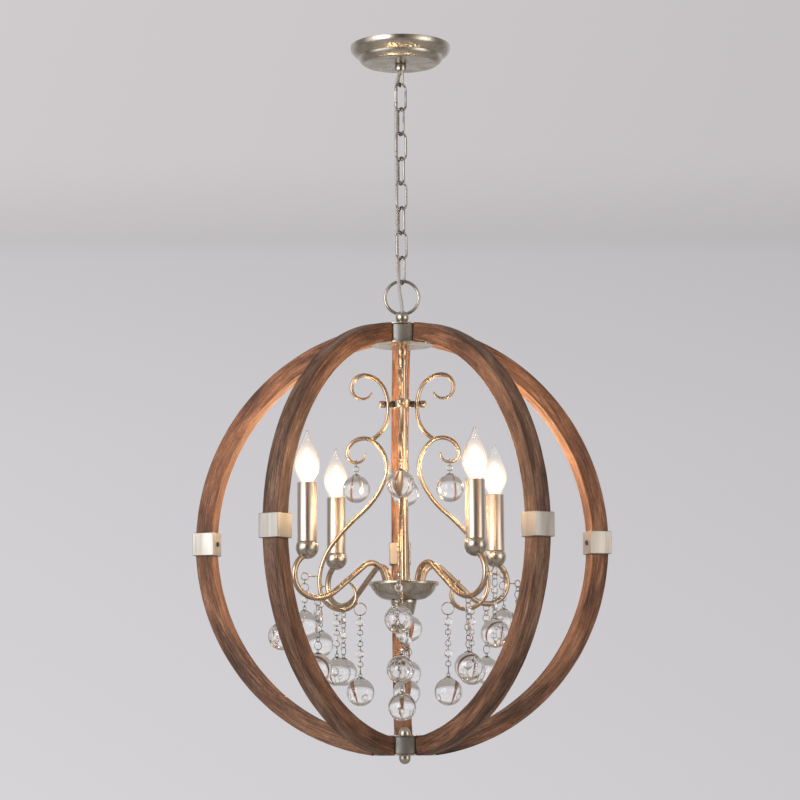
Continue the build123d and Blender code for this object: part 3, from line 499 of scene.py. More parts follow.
def walk_arcs(start: tuple[float, float], heading: float, arcs: list[tuple[float, float]],
              step: float = 1.6) -> list[Vector]:
    """Walks tangent arcs in the XZ plane.

    Args:
        start: First point, (radius, height).
        heading: First direction, in degrees.
        arcs: (radius, turn) of each arc; a radius of 0 goes straight on for that length.
        step: Rough distance between points.

    Returns:
        The points.
    """
    x, z = start
    angle = heading
    points = [Vector((x, 0, z))]
    for radius, turn in arcs:
        if radius == 0:
            count = max(2, int(turn / (3 * step)))
            for k in range(1, count + 1):
                points.append(Vector((x + turn * k / count * cos(radians(angle)), 0,
                                      z + turn * k / count * sin(radians(angle)))))
            x, z = points[-1].x, points[-1].z
            continue
        side = 1 if turn > 0 else -1
        cx = x + radius * cos(radians(angle + 90 * side))
        cz = z + radius * sin(radians(angle + 90 * side))
        count = max(4, int(radians(abs(turn)) * radius / step))
        for k in range(1, count + 1):
            out = radians(angle - 90 * side + turn * k / count)
            points.append(Vector((cx + radius * cos(out), 0, cz + radius * sin(out))))
        x, z = points[-1].x, points[-1].z
        angle += turn
    return points


@dataclass
class Workshop:
    """Builds the finishes once and turns shells into pieces that ride on the frame."""

    finishes: dict[Slot, bpy.types.Material] = field(default_factory=dict)
    gilt: bpy.types.Material | None = None
    count: int = 0

    def piece(self, name: str, shell: Shell, slots: list[Slot | bpy.types.Material], body: str | None,
              replaces: tuple[str, ...] = (), sharp: float = 32.0, weighted: bool = False,
              lowered: bool = True, gilt: bool = False) -> bpy.types.Object:
        """Makes a mesh object from a shell.

        Args:
            name: The piece's name.
            shell: Its points and faces.
            slots: Finishes, in the order of the shell's slot numbers.
            body: The frame body it rides on, or None to leave it free.
            replaces: CAD nodes that it stands for.
            sharp: Angle in degrees over which an edge is hard.
            weighted: True to keep broad faces flat next to rounded corners.
            lowered: True if the shell is drawn about the middle of the orb.
            gilt: True for the warmer tone of the same finish in the first slot.

        Returns:
            The new object.
        """
        drop = Vector((0, 0, DROP if lowered else 0))
        mesh = bpy.data.meshes.new(name)
        mesh.from_pydata([(p - drop) * MM for p in shell.points], [], shell.faces)
        mesh.validate(verbose=False)
        if len(shell.uvs) == len(mesh.loops):
            layer = mesh.uv_layers.new(name="grain")
            layer.data.foreach_set("uv", [c for uv in shell.uvs for c in uv])
        if len(shell.outer) == len(mesh.polygons):
            mesh.attributes.new("outer", "FLOAT", "FACE").data.foreach_set("value", shell.outer)
        for slot in slots:
            mesh.materials.append(self.finishes[slot] if isinstance(slot, Slot) else slot)
        if gilt:
            mesh.materials[0] = self.gilt
        if len(shell.slots) == len(mesh.polygons):
            mesh.polygons.foreach_set("material_index", shell.slots)
        mesh.shade_smooth()
        mesh.set_sharp_from_angle(angle=radians(sharp))
        mesh.update()
        made = bpy.data.objects.new(name, mesh)
        bpy.context.scene.collection.objects.link(made)
        if weighted:
            modifier = made.modifiers.new("flat_faces", "WEIGHTED_NORMAL")
            modifier.keep_sharp = True
        if replaces:
            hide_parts(*replaces)
        if body:
            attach(made, str(body.value if isinstance(body, Body) else body))
        self.count += 1
        return made

    def refinish(self, node: str, slot: Slot) -> None:
        """Gives a CAD node that stays in view its finish."""
        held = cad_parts[node]
        held.data.materials.clear()
        held.data.materials.append(self.finishes[slot])


# ---------------------------------------------------------------- camera, room and light
@dataclass(frozen=True)
class RoomCamera:
    """The camera, below the orb and a little to the left, looking up at it.

    Args:
        distance: From the stem to the camera, in metres.
        below: How far the camera is under the middle of the orb, in metres.
        left: How far it is to the left, in metres.
        pitch: How far it looks up, in degrees.
        roll: Its turn about its own axis, in degrees.
        pixels: Focal length, in pixels of an 800 pixel wide frame.
    """

    distance: float = 3.8
    below: float = 0.2947
    left: float = 0.0036
    pitch: float = 7.297
    roll: float = -0.348
    pixels: float = 2780.0

    def build(self) -> bpy.types.Object:
        """Returns the camera, set as the scene's."""
        data = bpy.data.cameras.new("room_camera")
        data.sensor_width = 36.0
        data.sensor_fit = "HORIZONTAL"
        data.lens = self.pixels * 36.0 / 800.0
        data.clip_start, data.clip_end = 0.05, 60.0
        camera = bpy.data.objects.new("room_camera", data)
        bpy.context.scene.collection.objects.link(camera)
        tilt = Matrix.Rotation(radians(90.0 + self.pitch), 4, "X")
        look = tilt @ Matrix.Rotation(radians(self.roll), 4, "Z")
        place = Matrix.Translation((-self.left, -self.distance, -DROP * MM - self.below))
        camera.matrix_world = place @ look
        bpy.context.scene.camera = camera
        return camera


@dataclass(frozen=True)
class PaleRoom:
    """A pale ceiling and walls as the world's light, and a pale floor far below.

    Args:
        ceiling: Colour of the ceiling.
        wall: Colour of the walls.
        floor: Colour of the floor in the world.
        edge: Height of the ceiling's edge for each metre of distance.
        fade: How much darker the right of the picture is than the left, as painted shade.
        ground: Height of the floor object, in metres.
    """

    ceiling: Colour = (0.590, 0.566, 0.580)
    wall: Colour = (0.650, 0.635, 0.655)
    floor: Colour = (0.42, 0.385, 0.35)
    edge: float = 0.187
    fade: float = 0.36
    ground: float = -2.6

    @staticmethod
    def shade(colour: Colour, share: float) -> Colour:
        """Returns a colour made brighter or darker by a share."""
        return tuple(c * share for c in colour)

    def plain_room(self, g: Graph, level: Socket, across: Socket) -> Socket:
        """Walls and ceiling as the camera sees them, with painted light and shade; returns the colour socket.
        """
        line = 0.5 + self.edge / 2
        # painted light and shade: the wall is brightest at eye height and darker towards the floor and up to
        # the ceiling's edge; the ceiling is darkest at that edge and brighter overhead
        room = g.ramp(level, [
            (0.0, self.floor), (0.30, self.shade(self.wall, 0.95)), (0.48, self.wall),
            (0.558, self.shade(self.wall, 0.91)), (line - 0.0012, self.shade(self.wall, 0.83)),
            (line + 0.0004, self.shade(self.ceiling, 0.88)), (line + 0.015, self.ceiling),
            (1.0, self.shade(self.ceiling, 1.1)),
        ])
        # painted shade: the backdrop darkens towards the right
        fade = g.maths("MULTIPLY_ADD", across, -self.fade, 1.0)
        return g.add("VectorMath", {0: room, "Scale": fade}, operation="SCALE").outputs[0]

    def mirrored_room(self, g: Graph, level: Socket, x: Socket, y: Socket) -> Socket:
        """The room as glass and metal show it, with windows behind the camera; returns the colour socket."""
        black, white = (0.0, 0.0, 0.0), (1.0, 1.0, 1.0)
        soft = g.ramp(level, [
            (0.0, (0.16, 0.14, 0.125)), (0.10, (0.55, 0.52, 0.49)), (0.17, (0.12, 0.105, 0.09)),
            (0.26, (0.66, 0.64, 0.62)), (0.36, (0.52, 0.50, 0.48)), (0.45, self.shade(self.wall, 1.12)),
            (0.62, self.shade(self.wall, 1.1)), (0.80, (0.80, 0.78, 0.77)), (1.0, (0.34, 0.32, 0.31)),
        ])
        side = g.ramp(g.maths("ABSOLUTE", x), [(0.72, white), (0.97, (0.34, 0.32, 0.30))])
        behind = g.maths("MULTIPLY", y, -1.0)
        turn = g.maths("MULTIPLY_ADD", g.maths("ARCTAN2", x, behind), 0.5 / pi, 0.5)
        windows = g.ramp(turn, [
            (0.0, (0.45, 0.43, 0.41)), (0.22, (0.9, 0.88, 0.86)), (0.30, (2.0, 1.96, 1.92)),
            (0.405, (1.7, 1.66, 1.62)), (0.45, (0.10, 0.075, 0.06)), (0.525, (0.09, 0.065, 0.05)),
            (0.60, (0.72, 0.58, 0.44)), (0.70, (1.15, 1.02, 0.90)), (0.79, (0.16, 0.13, 0.11)),
            (1.0, (0.45, 0.43, 0.41)),
        ])
        here = g.ramp(behind, [(0.0, black), (0.35, white)])
        band = g.ramp(level, [(0.25, black), (0.40, white), (0.70, white), (0.95, (0.2, 0.2, 0.2))])
        share = g.mix(1.0, here, band, "MULTIPLY")
        return g.mix(share, g.mix(1.0, soft, side, "MULTIPLY"), windows)

    def build(self) -> None:
        """Sets the world and adds the floor."""
        world = bpy.data.worlds.new("pale_room")
        bpy.context.scene.world = world
        world.use_nodes = True
        g = Graph(world.node_tree, "ShaderNodeOutputWorld")
        x, y, z = g.add("SeparateXYZ", {0: g.add("TexCoord").outputs["Generated"]}).outputs
        reach = g.maths("MAXIMUM", g.maths("ABSOLUTE", x), g.maths("ABSOLUTE", y))
        height = g.maths("DIVIDE", z, g.maths("MAXIMUM", reach, 0.02))
        level = g.maths("MULTIPLY_ADD", height, 0.5, 0.5)
        room = self.plain_room(g, level, g.maths("DIVIDE", x, reach))
        seen = g.mix(g.add("LightPath").outputs["Is Camera Ray"], self.mirrored_room(g, level, x, y), room)
        g.finish(g.add("Background", {0: seen}))
        self.build_floor()

    def build_floor(self) -> None:
        """Adds the floor object."""
        mesh = bpy.data.meshes.new("floor")
        corners = [(-6, -6, self.ground), (6, -6, self.ground), (6, 6, self.ground), (-6, 6, self.ground)]
        mesh.from_pydata(corners, [], [(0, 1, 2, 3)])
        g = Graph.for_material("pale_floor")
        mottle = g.noise(g.add("TexCoord").outputs["Object"], 3.0, 4.0)
        colour = g.ramp(mottle, [(0.3, (0.60, 0.585, 0.565)), (0.7, (0.66, 0.645, 0.625))])
        mesh.materials.append(g.finish(g.add("BsdfPrincipled", {"Base Color": colour, "Roughness": 0.85})))
        floor = bpy.data.objects.new("floor", mesh)
        bpy.context.scene.collection.objects.link(floor)


@dataclass(frozen=True)
class StudioLight:
    """One soft rectangular light.

    Args:
        name: Its name.
        place: Where it stands, in metres.
        aim: The point that it faces.
        size: Its width and height, in metres.
        power: In watts.
        colour: Its colour.
    """

    name: str
    place: tuple[float, float, float]
    aim: tuple[float, float, float]
    size: tuple[float, float]
    power: float
    colour: Colour = (1.0, 0.985, 0.965)

    def build(self) -> None:
        """Adds the light."""
        data = bpy.data.lights.new(self.name, "AREA")
        data.shape = "RECTANGLE"
        data.size, data.size_y = self.size
        data.energy = self.power
        data.color = self.colour
        light = bpy.data.objects.new(self.name, data)
        light.location = self.place
        light.rotation_euler = (Vector(self.aim) - Vector(self.place)).to_track_quat("-Z", "Y").to_euler()
        light.visible_camera = False
        bpy.context.scene.collection.objects.link(light)


# ---------------------------------------------------------------- supply cord
@dataclass
class SupplyCord:
    """Clear-sleeved cord from the ceiling collar, beside the chain, to the ball over the orb.

    Args:
        shop: Where its pieces are made.
        diameter: Its thickness.
        bend: Meant as how far above and below a joint of the chain it bends; not used.
    """

    shop: Workshop
    diameter: float = 5.0
    bend: float = 9.0

    def route(self) -> list[Vector]:
        """Control points of its line, about the middle of the orb."""
        top = DROP - 35.5
        link, loop = radians(208.0), radians(118.0)

        def corner(off_link: float, off_loop: float, height: float) -> Vector:
            """A point beside the links' two planes."""
            return Vector((off_loop * cos(link) + off_link * cos(loop),
                           off_loop * sin(link) + off_link * sin(loop), height))

        beside = 4.6
        before = -5.15
        low_seven = self.last_wire() - 5.1
        return [
            Vector((0, 0, top + 6.0)), Vector((0, 0, top - 1.5)), corner(1.3, 3.4, top - 9.5),
            corner(beside, 4.75, top - 15.5), corner(beside + 0.2, beside + 0.5, top - 44.0),
            corner(beside + 0.6, beside + 0.1, (top + low_seven) / 2),
            corner(beside + 0.1, beside + 0.4, low_seven - 1.5), Vector((-5.0, before - 0.8, RING_TOP + 4.0)),
            Vector((-3.0, before - 0.6, RING_Z + 4.0)), Vector((0, before, BALL_Z + 16.0)),
            Vector((0, before, BALL_Z + 1.6)),
        ]

    @staticmethod
    def last_wire() -> float:
        """Height of the lowest link's upper wire."""
        return RING_TOP - 4.15 + 2 * LINK_HALF

    def line(self) -> list[Vector]:
        """Points along the smooth line through the route."""
        curve = bpy.data.curves.new("cord_line", "CURVE")
        curve.dimensions = "3D"
        spline = curve.splines.new("NURBS")
        route = self.route()
        spline.points.add(len(route) - 1)
        for point, place in zip(spline.points, route):
            point.co = (*place, 1.0)
        spline.order_u = 3
        spline.use_endpoint_u = True
        spline.resolution_u = 24
        holder = bpy.data.objects.new("cord_line", curve)
        bpy.context.scene.collection.objects.link(holder)
        bpy.context.view_layer.update()
        mesh = bpy.data.meshes.new_from_object(holder)
        points = [v.co.copy() for v in mesh.vertices]
        bpy.data.objects.remove(holder)
        bpy.data.meshes.remove(mesh)
        return points

    def build(self) -> None:
        """Makes one piece for each joint of the chain, each left free of the links."""
        points = self.line()
        joints = Chain.joint_heights()
        cuts = [points[0].z] + [(a + b) / 2 for a, b in zip(joints, joints[1:])] + [points[-1].z]
        for number, (high, low) in enumerate(zip(cuts, cuts[1:])):
            run = self.between(points, high, low)
            shell = tube(run, self.diameter / 2, 14)
            made = self.shop.piece(f"supply_cord_{number + 1}", shell, [Slot.FLEX], None, ("supply_cord",))
            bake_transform(made)

    @staticmethod
    def between(points: list[Vector], high: float, low: float) -> list[Vector]:
        """The stretch of a falling line between two heights."""

        def cut(height: float) -> Vector:
            """The line's point at a height, or its nearer end."""
            for a, b in zip(points, points[1:]):
                if a.z >= height >= b.z and a.z > b.z:
                    return a.lerp(b, (a.z - height) / (a.z - b.z))
            return points[0] if height > points[0].z else points[-1]

        inside = [p for p in points if low + 0.2 < p.z < high - 0.2]
        return [cut(high)] + inside + [cut(low)]


# ---------------------------------------------------------------- ceiling plate and chain
@dataclass
class CeilingMount:
    """Round stepped ceiling plate, crossbar, and the loop that the chain hangs from."""

    shop: Workshop

    def build(self) -> None:
        """Makes the plate and the loop."""
        plate = lathe([
            (69.0, -0.6), (69.0, -0.05), (69.6, -0.05), (69.95, -0.6), (69.95, -2.6), (69.7, -5.0),
            (68.9, -7.6), (67.6, -9.8), (65.4, -12.2), (63.2, -14.0), (60.6, -15.2), (60.0, -15.7),
            (59.2, -15.9), (58.9, -16.6), (58.6, -18.4), (57.6, -20.6), (56.0, -22.8), (54.0, -24.4),
            (52.2, -25.4), (50.6, -25.85), (48.0, -25.95), (5.3, -25.95), (5.15, -25.8), (5.15, -24.9),
            (50.0, -24.8), (55.4, -21.8), (57.6, -17.0), (62.0, -13.4), (66.8, -9.2), (68.7, -3.0),
            (69.0, -0.6),
        ], 128)
        self.shop.piece("ceiling_plate", plate, [Slot.SILVER], Body.CEILING, ("canopy",), 28.0, lowered=False)
        loop = lathe([(3.4, -35.4), (6.9, -35.45), (7.9, -34.8), (8.15, -33.8), (8.15, -28.2), (7.9, -27.0),
                      (7.2, -26.05), (5.0, -26.03), (5.0, -0.3), (3.4, -0.3), (3.4, -35.4)], 48)
        half, low, high, bend_z = 5.75, -40.0, -33.5, -51.3
        u_line = [Vector((half, 0, high)), Vector((half, 0, low))]
        u_line += [p + Vector((0, 0, bend_z)) for p in circle(half, 22, 0.0, -180.0)]
        u_line += [Vector((-half, 0, low)), Vector((-half, 0, high))]
        loop = Shell().add(loop).add(tube(u_line, 1.72, 16))
        whole = loop.moved(Matrix.Rotation(radians(-62.0), 4, "Z"))
        self.shop.piece("ceiling_loop", whole, [Slot.SILVER], Body.CEILING, ("canopy_loop",), lowered=False)
        self.shop.refinish("crossbar", Slot.ZINC)


@dataclass
class Chain:
    """Eight oval links, the first closed by a screw sleeve.

    Args:
        shop: Where its pieces are made.
        twist: Turn of the first link about the vertical, in degrees.
        bend: Radius of a link's ends, to the middle of its wire.
        wire: Radius of the wire.
    """

    shop: Workshop
    twist: float = 28.0
    bend: float = 7.65
    wire: float = 1.58

    @staticmethod
    def top_wire(number: int) -> float:
        """Height of a link's upper wire, counted from 1 at the ceiling."""
        return SupplyCord.last_wire() + (8 - number) * LINK_PITCH

    @classmethod
    def joint_heights(cls) -> list[float]:
        """Height of each hinge, from the ceiling loop down to the orb's ring."""
        lows = [cls.top_wire(k) - 2 * LINK_HALF for k in range(1, 8)]
        return [cls.top_wire(1) - 3.65] + lows + [SupplyCord.last_wire() - 2 * LINK_HALF]

    def build(self) -> None:
        """Makes one piece for each link."""
        leg = LINK_HALF - self.bend
        loop = []
        for side in (1, -1):
            loop += [p + Vector((0, 0, side * leg)) for p in circle(self.bend, 19, 90.0 - 90.0 * side, 180.0)]
            loop += [Vector((-side * self.bend, 0, side * z)) for z in (leg * 0.5, 0.0, -leg * 0.5)]
        for number in range(1, 9):
            shell = Shell().add(tube(loop, self.wire, 14, closed=True))
            if number == 1:
                sleeve = lathe([(1.65, -8.4), (2.4, -8.4), (2.85, -7.8), (2.85, 7.8), (2.4, 8.4),
                                (1.65, 8.4)], 6)
                shell.add(sleeve, at(-self.bend))
            spin = Matrix.Rotation(radians(self.twist + 90.0 * (number - 1)), 4, "Z")
            place = at(0, 0, self.top_wire(number) - LINK_HALF) @ spin
            body = f"link_{number}"
            self.shop.piece(f"chain_{number}", shell.moved(place), [Slot.CHAIN], body, (body,))


# ---------------------------------------------------------------- wooden orb
@dataclass
class WoodenOrb:
    """Five bent ribs between two hubs, with a square clamp round the middle of each.

    Args:
        shop: Where its pieces are made.
        stations: Spans of faces along a rib.
        greys: How grey a rib's faces are over each depth, from the outer face inwards.
    """

    shop: Workshop
    stations: int = 150
    greys: tuple[tuple[float, float], ...] = ((24.5, 1.0), (23.6, 0.55), (2.0, 0.1), (-1.0, 0.3))

    def rib(self, seed: float) -> Shell:
        """One rib in the XZ plane, with its grain coordinates and slightly uneven faces."""
        section = []
        for cx, cy, first in ((23.2, 10.7, 0), (23.2, -10.7, -90), (1.8, -10.7, 180), (1.8, 10.7, 90)):
            for k in range(4):
                a = radians(first + 90 - 30 * k)
                section.append((cx + 1.7 * cos(a), cy + 1.7 * sin(a)))
            if abs(cx - 23.2) < 1 and cy > 0:
                section += [(24.9, 3.6), (24.9, -3.6)]
            elif cy < 0 and cx > 5:
                section += [(16.0, -12.4), (9.0, -12.4)]
            elif cy < 0:
                section += [(0.1, -3.6), (0.1, 3.6)]
            else:
                section += [(9.0, 12.4), (16.0, 12.4)]
        count = len(section)
        lengths = [0.0]
        for (a, b), (c, d) in zip(section, section[1:] + section[:1]):
            lengths.append(lengths[-1] + hypot(c - a, d - b))
        shell = Shell()
        grid = []
        for i in range(self.stations + 1):
            share = 2.0 * i / self.stations - 1.0
            for depth, width in section:
                radius = RIB_INNER + depth
                end = 40.4 + 2.7 * depth / RIB_DEPTH
                angle = share * acos((end - RIB_SHIFT) / radius)
                along = angle * radius
                wear = 0.22 * noise.noise(Vector((along * 0.05 + seed, depth * 0.12, width * 0.12)))
                wear += 0.10 * noise.noise(Vector((along * 0.3 + seed, depth * 0.5, width * 0.5)))
                inward = Vector((RIB_DEPTH / 2 - depth, -width)).normalized() * (0.16 + wear)
                r = radius + inward.x
                shell.points.append(Vector((RIB_SHIFT + r * cos(angle), width + inward.y, r * sin(angle))))
                grid.append(along)
        for i in range(self.stations):
            for k in range(count):
                n = (k + 1) % count
                a, b = i * count + k, i * count + n
                c, d = b + count, a + count
                shell.faces.append((a, b, c, d))
                u0, u1 = (grid[a] + seed * 777) * MM, (grid[d] + seed * 777) * MM
                v0, v1 = (lengths[k] + seed * 31) * MM, (lengths[k + 1] + seed * 31) * MM
                shell.uvs += [(u0, v0), (u0, v1), (u1, v1), (u1, v0)]
                middle = (section[k][0] + section[n][0]) / 2
                shell.outer.append(next(grey for edge, grey in self.greys if middle > edge))
        for ends in (tuple(range(count)), tuple(reversed([self.stations * count + k for k in range(count)]))):
            shell.faces.append(ends)
            shell.uvs += [(section[k % count][0] * MM, section[k % count][1] * MM) for k in ends]
            shell.outer.append(0.0)
        return shell

    def clamp(self) -> Shell:
        """A square collar with softened edges, 32 tall, round a rib at its widest point."""
        middle = RIB_SHIFT + RIB_INNER + RIB_DEPTH / 2
        outer_half, inner_half, high, soft = 15.7, 12.7, 16.0, 0.9
        shell = Shell()
        rows = []
        for half, z in ((inner_half, -high), (outer_half - soft, -high), (outer_half, -high + soft),
                        (outer_half, high - soft), (outer_half - soft, high), (inner_half, high),
                        (inner_half, -high)):
            start = len(shell.points)
            inset = soft if half > inner_half else 0.05
            less = half - inset
            corners = [(half, less), (less, half), (-less, half), (-half, less),
                       (-half, -less), (-less, -half), (less, -half), (half, -less)]
            shell.points += [Vector((middle + a, b, z)) for a, b in corners]
            rows.append(range(start, start + 8))
        for low, up in zip(rows, rows[1:]):
            for k in range(8):
                n = (k + 1) % 8
                shell.faces.append((low[k], low[n], up[n], up[k]))
        return shell

    def build(self) -> None:
        """Makes ribs, clamps, discs, drums and the small parts of both hubs."""
        for number, azimuth in enumerate(RIB_AZIMUTHS, 1):
            node = f"rib_{number}"
            rib = self.rib(number * 1.37).moved(turned(azimuth))
            self.shop.piece(f"wood_{node}", rib, [Slot.WOOD], Body.ORB, (node,), 40.0, weighted=True)
        clamps = self.clamp().around(RIB_AZIMUTHS)
        self.shop.piece("rib_clamps", clamps, [Slot.CLAMP], Body.ORB, ("clamps",), 50.0, weighted=True)
        drum = lathe([(38.0, DISC_LOW + 0.1), (39.6, DISC_LOW + 0.1), (39.95, DISC_LOW + 0.5),
                      (39.95, HUB_TOP - 2.5), (39.6, HUB_TOP - 2.1), (38.0, HUB_TOP - 2.1),
                      (38.0, DISC_LOW + 0.1)], 96)
        disc = lathe([(5.15, 0.02), (42.4, 0.02), (42.95, 0.5), (42.95, 1.5), (42.4, 1.98), (5.15, 1.98),
                      (5.15, 0.02)], 96)
        drums, discs = Shell(), Shell()
        for flip in (Matrix.Identity(4), Matrix.Scale(-1, 4, (0, 0, 1))):
            drums.add(drum, flip)
            discs.add(disc, flip @ at(0, 0, HUB_TOP - 2.0))
            discs.add(disc, flip @ at(0, 0, DISC_LOW - 2.0))
        self.shop.piece("drums", drums, [Slot.DRUM], Body.ORB, ("hub_drums",), 28.0)
        self.shop.piece("discs", discs, [Slot.SILVER], Body.ORB, ("hub_discs",), 28.0)
        self.build_top()
        self.build_bottom()
        self.shop.refinish("wood_screws", Slot.SCREW)
        self.shop.refinish("lock_nuts", Slot.ZINC)

    def build_top(self) -> None:
        """Ball on its washer, and the ring."""
        low = HUB_TOP + 0.05
        profile = [(5.2, low), (9.0, low), (9.45, low + 0.5), (9.45, low + 3.0), (9.1, low + 3.7),
                   (8.2, low + 3.95), (8.0, low + 4.3)]
        profile += rounded(9.45, BALL_Z, -58, range(1, 19), 148 / 19) + [(0.0, BALL_Z + 9.45)]
        self.shop.piece("top_ball", lathe(profile, 48), [Slot.SILVER], Body.ORB, ("ball_collar",), 40.0)
        wire = ring(RING_OUTSIDE, RING_WIRE, count=72, sides=18).moved(at(0, 0, RING_Z))
        self.shop.piece("top_ring", wire, [Slot.SILVER], Body.ORB, ("orb_ring",))

    def build_bottom(self) -> None:
        """Finial under the bottom hub and the domed nut over it."""
        top = -HUB_TOP
        profile = [(0.0, top - 11.45)] + rounded(7.95, top - 3.5, -90, range(1, 15), 6)
        profile += [(7.95, top - 3.3), (7.95, top - 0.5), (7.6, top - 0.05), (0.0, top - 0.05)]
        self.shop.piece("finial", lathe(profile, 48), [Slot.SILVER], Body.ORB, ("bottom_finial",), 35.0)
        seat = -DISC_LOW + 2.05
        dome = [(3.15, seat), (7.95, seat), (7.95, seat + 3.0)]
        dome += rounded(7.95, seat + 3.0, 0, range(1, 6), 15) + [(0.0, seat + 10.95)]
        self.shop.piece("domed_nut", lathe(dome, 40), [Slot.SILVER], Body.ORB, ("bottom_cap_nut",), 35.0)


# ---------------------------------------------------------------- stem, scrolls and arms
@dataclass
class CentreStem:
    """Tube from the top hub to the dish, with coupler, collar, bolts, dish and end cap."""

    shop: Workshop
    collar_z: float = 186.0
    rod_r: float = 19.926

    def build(self) -> None:
        """Makes the stem and what sits on it."""
        top = DISC_LOW - 2.02
        shell = Shell()
        shell.add(lathe([(5.0, top), (6.8, top), (7.15, top - 0.6), (7.15, top - 13.2), (6.8, top - 13.9),
                         (5.0, top - 14.0)], 48))
        low = top - 14.04
        shell.add(lathe([(5.0, low), (6.2, low), (6.55, low - 0.5), (6.55, low - 12.0), (6.2, low - 13.6),
                         (5.6, low - 13.95), (4.5, low - 13.95)], 48))
        shell.add(lathe([(4.4, low - 14.0), (5.55, low - 14.0), (5.55, -93.0), (4.4, -93.0),
                         (4.4, low - 14.0)], 48))
        high = HUB_TOP + 3.9
        shell.add(lathe([(3.4, high), (4.95, high), (4.95, low - 7.0), (3.4, low - 7.0)], 32))
        self.shop.piece("centre_tube", shell, [Slot.SILVER], Body.ORB, ("stem",), 35.0, gilt=True)
        z = self.collar_z
        collar = lathe([(5.7, z - 6.0), (11.2, z - 6.0), (11.95, z - 5.2), (11.95, z + 5.2), (11.2, z + 6.0),
                        (5.7, z + 6.0), (5.7, z - 6.0)], 64)
        self.shop.piece("stem_collar", collar, [Slot.SILVER], Body.ORB, ("scroll_collar",), 35.0, gilt=True)
        bolts = Shell()
        across = Matrix.Rotation(pi / 2, 4, "Y")
        start, rod_in, rod_out = 12.1, self.rod_r - 3.1, self.rod_r + 3.4
        head = rod_out + 1.62
        spacer = lathe([(1.8, start), (4.1, start), (4.35, start + 0.3), (4.35, rod_in - 0.3), (4.1, rod_in),
                        (1.8, rod_in)], 28)
        washer = lathe([(1.8, rod_out), (4.1, rod_out), (4.35, rod_out + 0.3), (4.35, rod_out + 1.3),
                        (4.1, rod_out + 1.6), (1.8, rod_out + 1.6)], 28)
        cap = lathe([(1.55, 8.2), (1.55, head), (4.5, head), (4.95, head + 0.5), (4.95, head + 5.0),
                     (4.5, head + 6.4), (3.2, head + 7.5), (1.5, head + 7.9), (0.0, head + 7.95)], 32)
        dark = Shell().add(spacer).add(washer)
        for azimuth in SCROLL_AZIMUTHS:
            place = at(0, 0, z) @ turned(azimuth) @ across
            bolts.add(dark, place, 1)
            bolts.add(cap, place)
        self.shop.piece("collar_bolts", bolts, [Slot.SILVER, Slot.SCREW], Body.ORB, ("scroll_bolts",), 35.0,
                        gilt=True)
        self.build_dish()

    def build_dish(self) -> None:
        """Shallow bowl under the arms, and the turned cap that holds it."""
        bowl = [(5.75, -81.9), (21.0, -81.85), (29.5, -79.3), (36.4, -74.2), (40.8, -68.6), (43.0, -63.4),
                (43.3, -62.6), (46.1, -62.3), (46.4, -61.8), (46.4, -59.6), (46.8, -59.1), (47.6, -59.1),
                (47.95, -59.6), (47.95, -63.3), (47.5, -64.0), (45.2, -64.1), (44.8, -64.8), (42.4, -70.2),
                (37.6, -76.4), (30.2, -81.4), (24.0, -83.2), (21.0, -83.45), (5.75, -83.45), (5.75, -81.9)]
        self.shop.piece("stem_dish", lathe(bowl, 96), [Slot.SILVER], Body.ORB, ("dish",), 35.0)
        cap = [(5.7, -83.6), (17.4, -83.6), (17.95, -84.1), (17.95, -87.2), (17.3, -88.2), (13.9, -102.6),
               (13.1, -103.4), (0.0, -103.5)]
        self.shop.piece("stem_cap", lathe(cap, 64), [Slot.SILVER], Body.ORB, ("dish_cap",), 30.0)


# Each rod: its first (radius, height), first heading in degrees, and arcs as (radius, turn)
UPPER_CURL = ((42.7, 202.0), -65.2, [
    (14.2, 119.1), (17.2, 135.1), (33.6, 59.8), (68.9, 34.4), (42.5, 45.5)])
LOWER_CURL = ((51.6, 117.9), -89.2, [
    (12.8, 192.8), (23.6, 114.6), (45.5, 72.8), (114.3, 28.0), (300.2, -11.3),
    (88.6, -29.8), (66.0, -22.0), (30.5, -75.9), (19.0, -90.0), (22.0, -60.0)])
ARM = ((31.9, -78.0), 104.5, [
    (46.5, -38.6), (21.1, -102.6), (0, 57.9), (55.7, 34.0), (40.2, 39.8), (28.1, 112.0)])
ROD_RADIUS = 2.95
ARM_RADIUS = 3.95
SCROLL_HOOK = (136.0, -50.0)
ARM_HOOK = (200.0, -55.0)


def lowest_at(line: list[Vector], radius: float) -> float:
    """Lowest height of a rod's line at a radius."""
    return min(p.z for p in line if abs(p.x - radius) < 1.2)


def eye(radius: float, low: float, rod: float) -> Shell:
    """A wire eye between a rod's axis and its lowest wire's axis."""
    bend = (rod - low) / 2
    return ring(2 * bend + EYE_WIRE, EYE_WIRE, count=32).moved(at(radius, 0, low + bend))


def hook(centre: tuple[float, float], rod: float) -> Shell:
    """A wire ring on a short stub that comes out of a bend."""
    shell = ring(11.4, HOOK_WIRE, count=36).moved(at(centre[0], 0, centre[1]))
    return shell.add(tube([Vector((rod, 0, centre[1])), Vector((centre[0] - 4.9, 0, centre[1]))], 0.78, 10))


